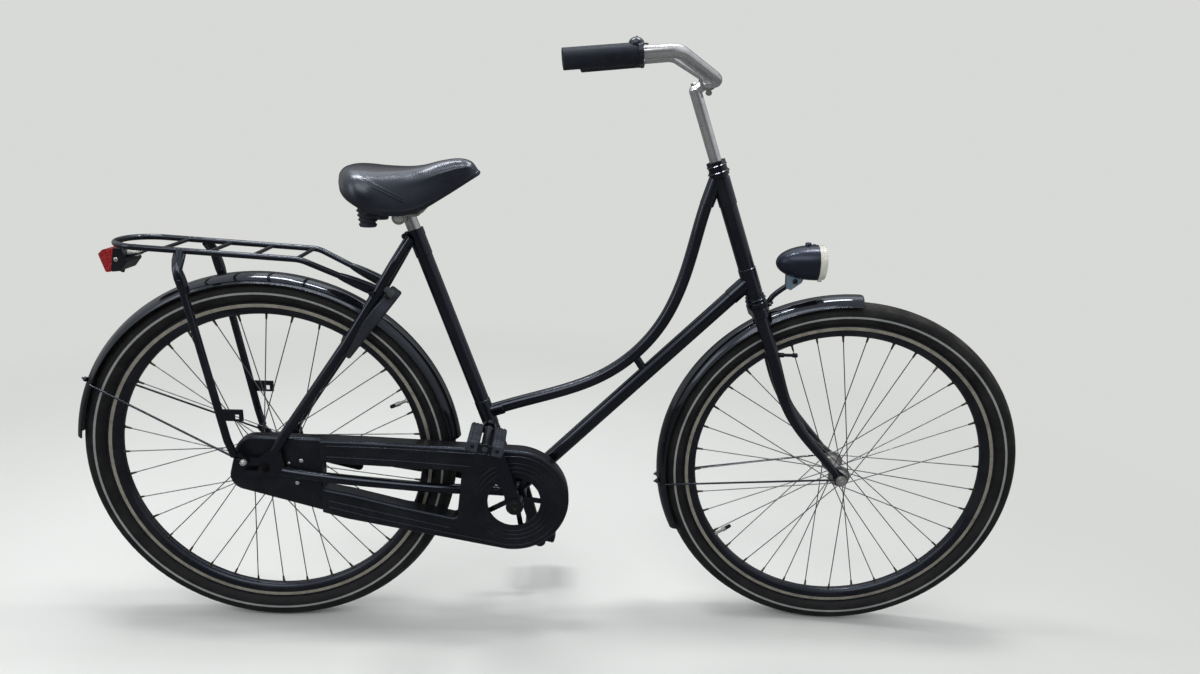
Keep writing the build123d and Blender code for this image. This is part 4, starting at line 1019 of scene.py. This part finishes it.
def lugs():
    """Lugs where the frame's tubes meet, the flanges of the bearing cups and the fork's race."""
    frame_lugs = Parts()
    seat_top = Vector((279.5, 0, 818))
    up_seat = (seat_top - BRACKET).normalized()
    join = Vector(steer_point(0, 0, 441))
    down = (BRACKET - join).normalized()
    for foot, way, first, last, radius in (
            (seat_top, up_seat, -52, -13, 15.8), (BRACKET, up_seat, 148, 203, 15.6),
            (BRACKET, up_seat, 15, 50, 15.8), (join, down, 12, 50, 15.9), (BRACKET, down, -15, -50, 15.8)):
        frame_lugs.sleeve(foot + way * first, foot + way * last, radius)
    frame_lugs.sleeve((835.6, 0, 934), (821.6, 0, 885), 13.5)
    frame_lugs.sleeve((426, 0, 463.7), (450, 0, 471.8), 13.3)
    cups = ((413, 466, 17.2), (592, 646, 17.2), (399.5, 403, 20.4), (654.5, 658.5, 20.6))
    races = ((391, 395.5, 20.2), (668, 671, 19.2))
    for parts, name, sleeves in ((frame_lugs, "frame_lugs", cups),
                                 (Parts("steering"), "steering_races", races)):
        for low, high, radius in sleeves:
            parts.sleeve(steer_point(0, 0, low), steer_point(0, 0, high), radius)
        parts.make(name, ENAMEL, "black_enamel", sharp=40)


def pedal_blocks(rubber, local, side):
    """Two ribbed rubber blocks with rounded ends, each grooved across and along."""
    rows, around, inner, outer = 90, 56, 90.6, 177.9
    for block in (-PEDAL_BLOCK_AHEAD, PEDAL_BLOCK_AHEAD):
        first = len(rubber.verts)
        for j in range(rows + 1):
            y = inner + (outer - inner) * j / rows
            groove = 2.6 * smooth_step(abs((y - inner) / 9.93 % 1 - 0.5), 0.28, 0.40)
            end = min(y - inner, outer - y)
            rounding = 2.6 * (1 - smooth_step(end, 0, 3.4))
            for a in full_turn(around):
                c, t = cos(a), sin(a)
                x = (11.6 - 0.7 * groove - rounding) * squarish(c, 0.5)
                z = (12 - groove - rounding) * squarish(t, 0.5)
                if abs(t) > abs(c) and abs(abs(x) - 3.9) < 1.2:
                    z *= 0.87
                rubber.verts.append(local(block + x, side * y, z))
        rubber.skin(first, rows + 1, around)


def pedal_plate(plates, local, y0, y1):
    """Pressed end plate: full height round each block's bolt, waisted between."""
    outline = []
    for a in full_turn(64):
        x = 31 * cos(a)
        outline.append((x, squarish(sin(a), 0.35) * (6.6 + 2.9 * smooth_step(abs(x), 8, 22))))
    plates.slab(*([local(x, y, z) for x, z in outline] for y in (y0, y1)))


def pedals():
    """Block pedals in full: rubber blocks, end plates, waisted centre tube and the blocks' bolts."""
    tilt = radians(-12)
    for side, label, a in ((-1, "right", CRANK_BEARING), (1, "left", CRANK_BEARING + pi)):
        end = BRACKET + CRANK_LENGTH * spoke(a)

        def local(x, y, z):
            return end + Vector((x * cos(tilt) - z * sin(tilt), y, x * sin(tilt) + z * cos(tilt)))
        rubber_blocks = Parts(f"{label}_pedal")
        pedal_blocks(rubber_blocks, local, side)
        blocks = rubber_blocks.make(f"pedal_blocks_{label}", BLOCK_RUBBER, "rubber")
        core = Parts(f"{label}_pedal")
        pedal_plate(core, local, side * 90, side * 92.5)
        pedal_plate(core, local, side * 174.6, side * 177)
        core.turned(local(0, side * 90, 0), (0, side, 0),
                    [(0, 9.5), (5, 9.5), (9, 8.4), (76, 8.4), (80, 9.2), (86.6, 9.2), (87.4, 8)], 28)
        for x in (-PEDAL_BLOCK_AHEAD, PEDAL_BLOCK_AHEAD):
            core.turned(local(x, side * 175.6, 0), (0, side, 0), [(0, 4.4), (2.1, 4.4), (2.4, 3.8)], 6)
        core.make(f"pedal_core_{label}", ENAMEL, "black_enamel")
        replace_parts(blocks, f"pedal_{label}")


def crank_fittings():
    """Dust caps over the crank bolts and the rubber caps at the pedals' outer ends."""
    caps = Parts("crankset")
    profile = [(0, 10.5), (1.2, 10.5), (1.8, 9.6), (1.8, 4.5), (1.2, 4)]
    for side in SIDES:
        caps.turned(BRACKET + Vector((0, side * 83.6, 0)), (0, side, 0), profile, 24)
    caps.make("crank_caps", DARK_STEEL, "bright_steel")
    reach = CRANK_LENGTH * spoke(CRANK_BEARING)
    for side, label in zip(SIDES, ("right", "left")):
        place = BRACKET - side * reach + Vector((0, side * 176.6, 0))
        cap = Parts(f"{label}_pedal").domed(place, (0, side, 0), 6.5, 1.3)
        cap.make(f"pedal_cap_{label}", BLOCK_RUBBER, "rubber")


# ---- floor, light and camera ------------------------------------------------------------------------
GROUND = -SEAT_POINT.z / 1000
PALE = (0.69, 0.70, 0.68)
REFLECTED_FLOOR = (0.12, 0.12, 0.12)


def floor():
    """A plain pale floor: it takes the shadow near the object and fades into the backdrop far off."""
    steps, middle = 48, 0.25
    rings = (0.6, 1.2, 2.0, 3.0, 4.5, 7.0, 14.0)
    verts = [(middle, 0, GROUND)]
    verts += [(middle + r * cos(a), r * sin(a), GROUND) for r in rings for a in full_turn(steps)]
    faces = [(0, 1 + k, 1 + (k + 1) % steps) for k in range(steps)]
    for i in range(len(rings) - 1):
        faces += band(1 + i * steps, steps)
    mesh = bpy.data.meshes.new("floor")
    mesh.from_pydata(verts, [], faces)
    obj = in_scene("floor", mesh)
    n = Nodes("floor_paint")
    n.set(Base_Color=PALE, Roughness=0.75, Specular_IOR_Level=0.2)
    glow = n.add("ShaderNodeEmission", {"Color": (*PALE, 1)}).outputs[0]
    dim = n.add("ShaderNodeEmission", {"Color": (*REFLECTED_FLOOR, 1)}).outputs[0]
    length = n.add("ShaderNodeVectorMath", {0: n.place}, operation="LENGTH").outputs["Value"]
    faded = n.add("ShaderNodeMixShader", {0: n.ramp(length, 1.25, 2.6), 1: n.shader.outputs[0], 2: glow})
    glossy = n.add("ShaderNodeLightPath").outputs["Is Glossy Ray"]
    mirrored = n.add("ShaderNodeMixShader", {0: glossy, 1: faded.outputs[0], 2: dim})
    n.link(mirrored.outputs[0], n.out.inputs["Surface"])
    n.finish(n.mix(n.noise(3, 3), PALE, shade(PALE, 0.96)))
    mesh.materials.append(n.material)


for build in (saddle, frame_fittings, rack_brackets, case_mouldings, guard_edges, tail_lamp_details, lock_key,
              steering_fittings, lamp_shell, bell, lugs, pedals, crank_fittings, floor):
    build()


def area_light(name, place, target, size, size_y, watts):
    light = bpy.data.lights.new(name, "AREA")
    light.shape = "RECTANGLE"
    light.size, light.size_y, light.energy = size, size_y, watts
    obj = in_scene(name, light)
    obj.location = place
    obj.rotation_euler = (Vector(target) - Vector(place)).to_track_quat("-Z", "Y").to_euler()


area_light("key", (-0.4, -2.2, 1.9), (0.25, 0, -0.5), 2.6, 1.4, 28)
area_light("top", (0.3, 0.9, 2.0), (0.25, 0, -0.5), 3.0, 1.2, 15)
area_light("rear_ceiling_panel", (-0.75, 0.12, 1.9), (-0.75, 0.12, 0), 0.7, 0.22, 19)
area_light("front_ceiling_panel", (0.95, 0.12, 1.9), (0.95, 0.12, 0), 0.7, 0.22, 19)
area_light("middle_ceiling_panel", (-0.12, -0.08, 1.9), (-0.12, -0.08, 0), 0.62, 0.15, 12)
area_light("left_fill", (-2.6, -1.4, 0.9), (0.1, 0, -0.3), 1.0, 1.4, 8)

# The camera sees a pale backdrop. Shiny parts reflect a dark room, pale walls at its ends and a bright
# ceiling. Everything else gets an even fill.
SKY = (0.95, 0.98, 1.0, 1)
world = bpy.data.worlds.new("studio")
studio = Tree(world)
rays = studio.add("ShaderNodeLightPath").outputs
generated = studio.add("ShaderNodeTexCoord").outputs["Generated"]
direction = studio.add("ShaderNodeSeparateXYZ", {0: generated}).outputs
walls = studio.ramp(studio.math("ABSOLUTE", direction["X"]), 0.35, 0.85, 0.05, 0.45)
ceiling = studio.ramp(direction["Z"], 0.20, 0.85, 0.0, 0.62)
fill = studio.add("ShaderNodeBackground", {"Color": SKY, "Strength": 0.50})
mirror = studio.add("ShaderNodeBackground", {"Color": SKY, "Strength": studio.math("ADD", walls, ceiling)})
seen = studio.add("ShaderNodeBackground", {"Color": (*PALE, 1), "Strength": 1.0})
lit = studio.add("ShaderNodeMixShader", {0: rays["Is Glossy Ray"], 1: fill.outputs[0], 2: mirror.outputs[0]})
direct = studio.math("MAXIMUM", rays["Is Camera Ray"], rays["Is Transmission Ray"])
blend = studio.add("ShaderNodeMixShader", {0: direct, 1: lit.outputs[0], 2: seen.outputs[0]})
studio.add("ShaderNodeOutputWorld", {"Surface": blend.outputs[0]})

scene = bpy.context.scene
scene.world = world
scene.view_settings.view_transform = "Standard"

camera_data = bpy.data.cameras.new("camera")
camera_data.sensor_fit = "HORIZONTAL"
camera_data.sensor_width = 36.0
camera_data.lens = 23.78148
camera = in_scene("camera", camera_data)
right = Vector((0.99736702, -0.05339011, 0.04907669))
up = Vector((-0.03274968, 0.27219989, 0.96168325))
back = right.cross(up)
turn = Matrix((right, up, back)).transposed().to_4x4()
camera.matrix_world = Matrix.Translation(at(534.33, -1485.49, 1039.12)) @ turn
scene.camera = camera
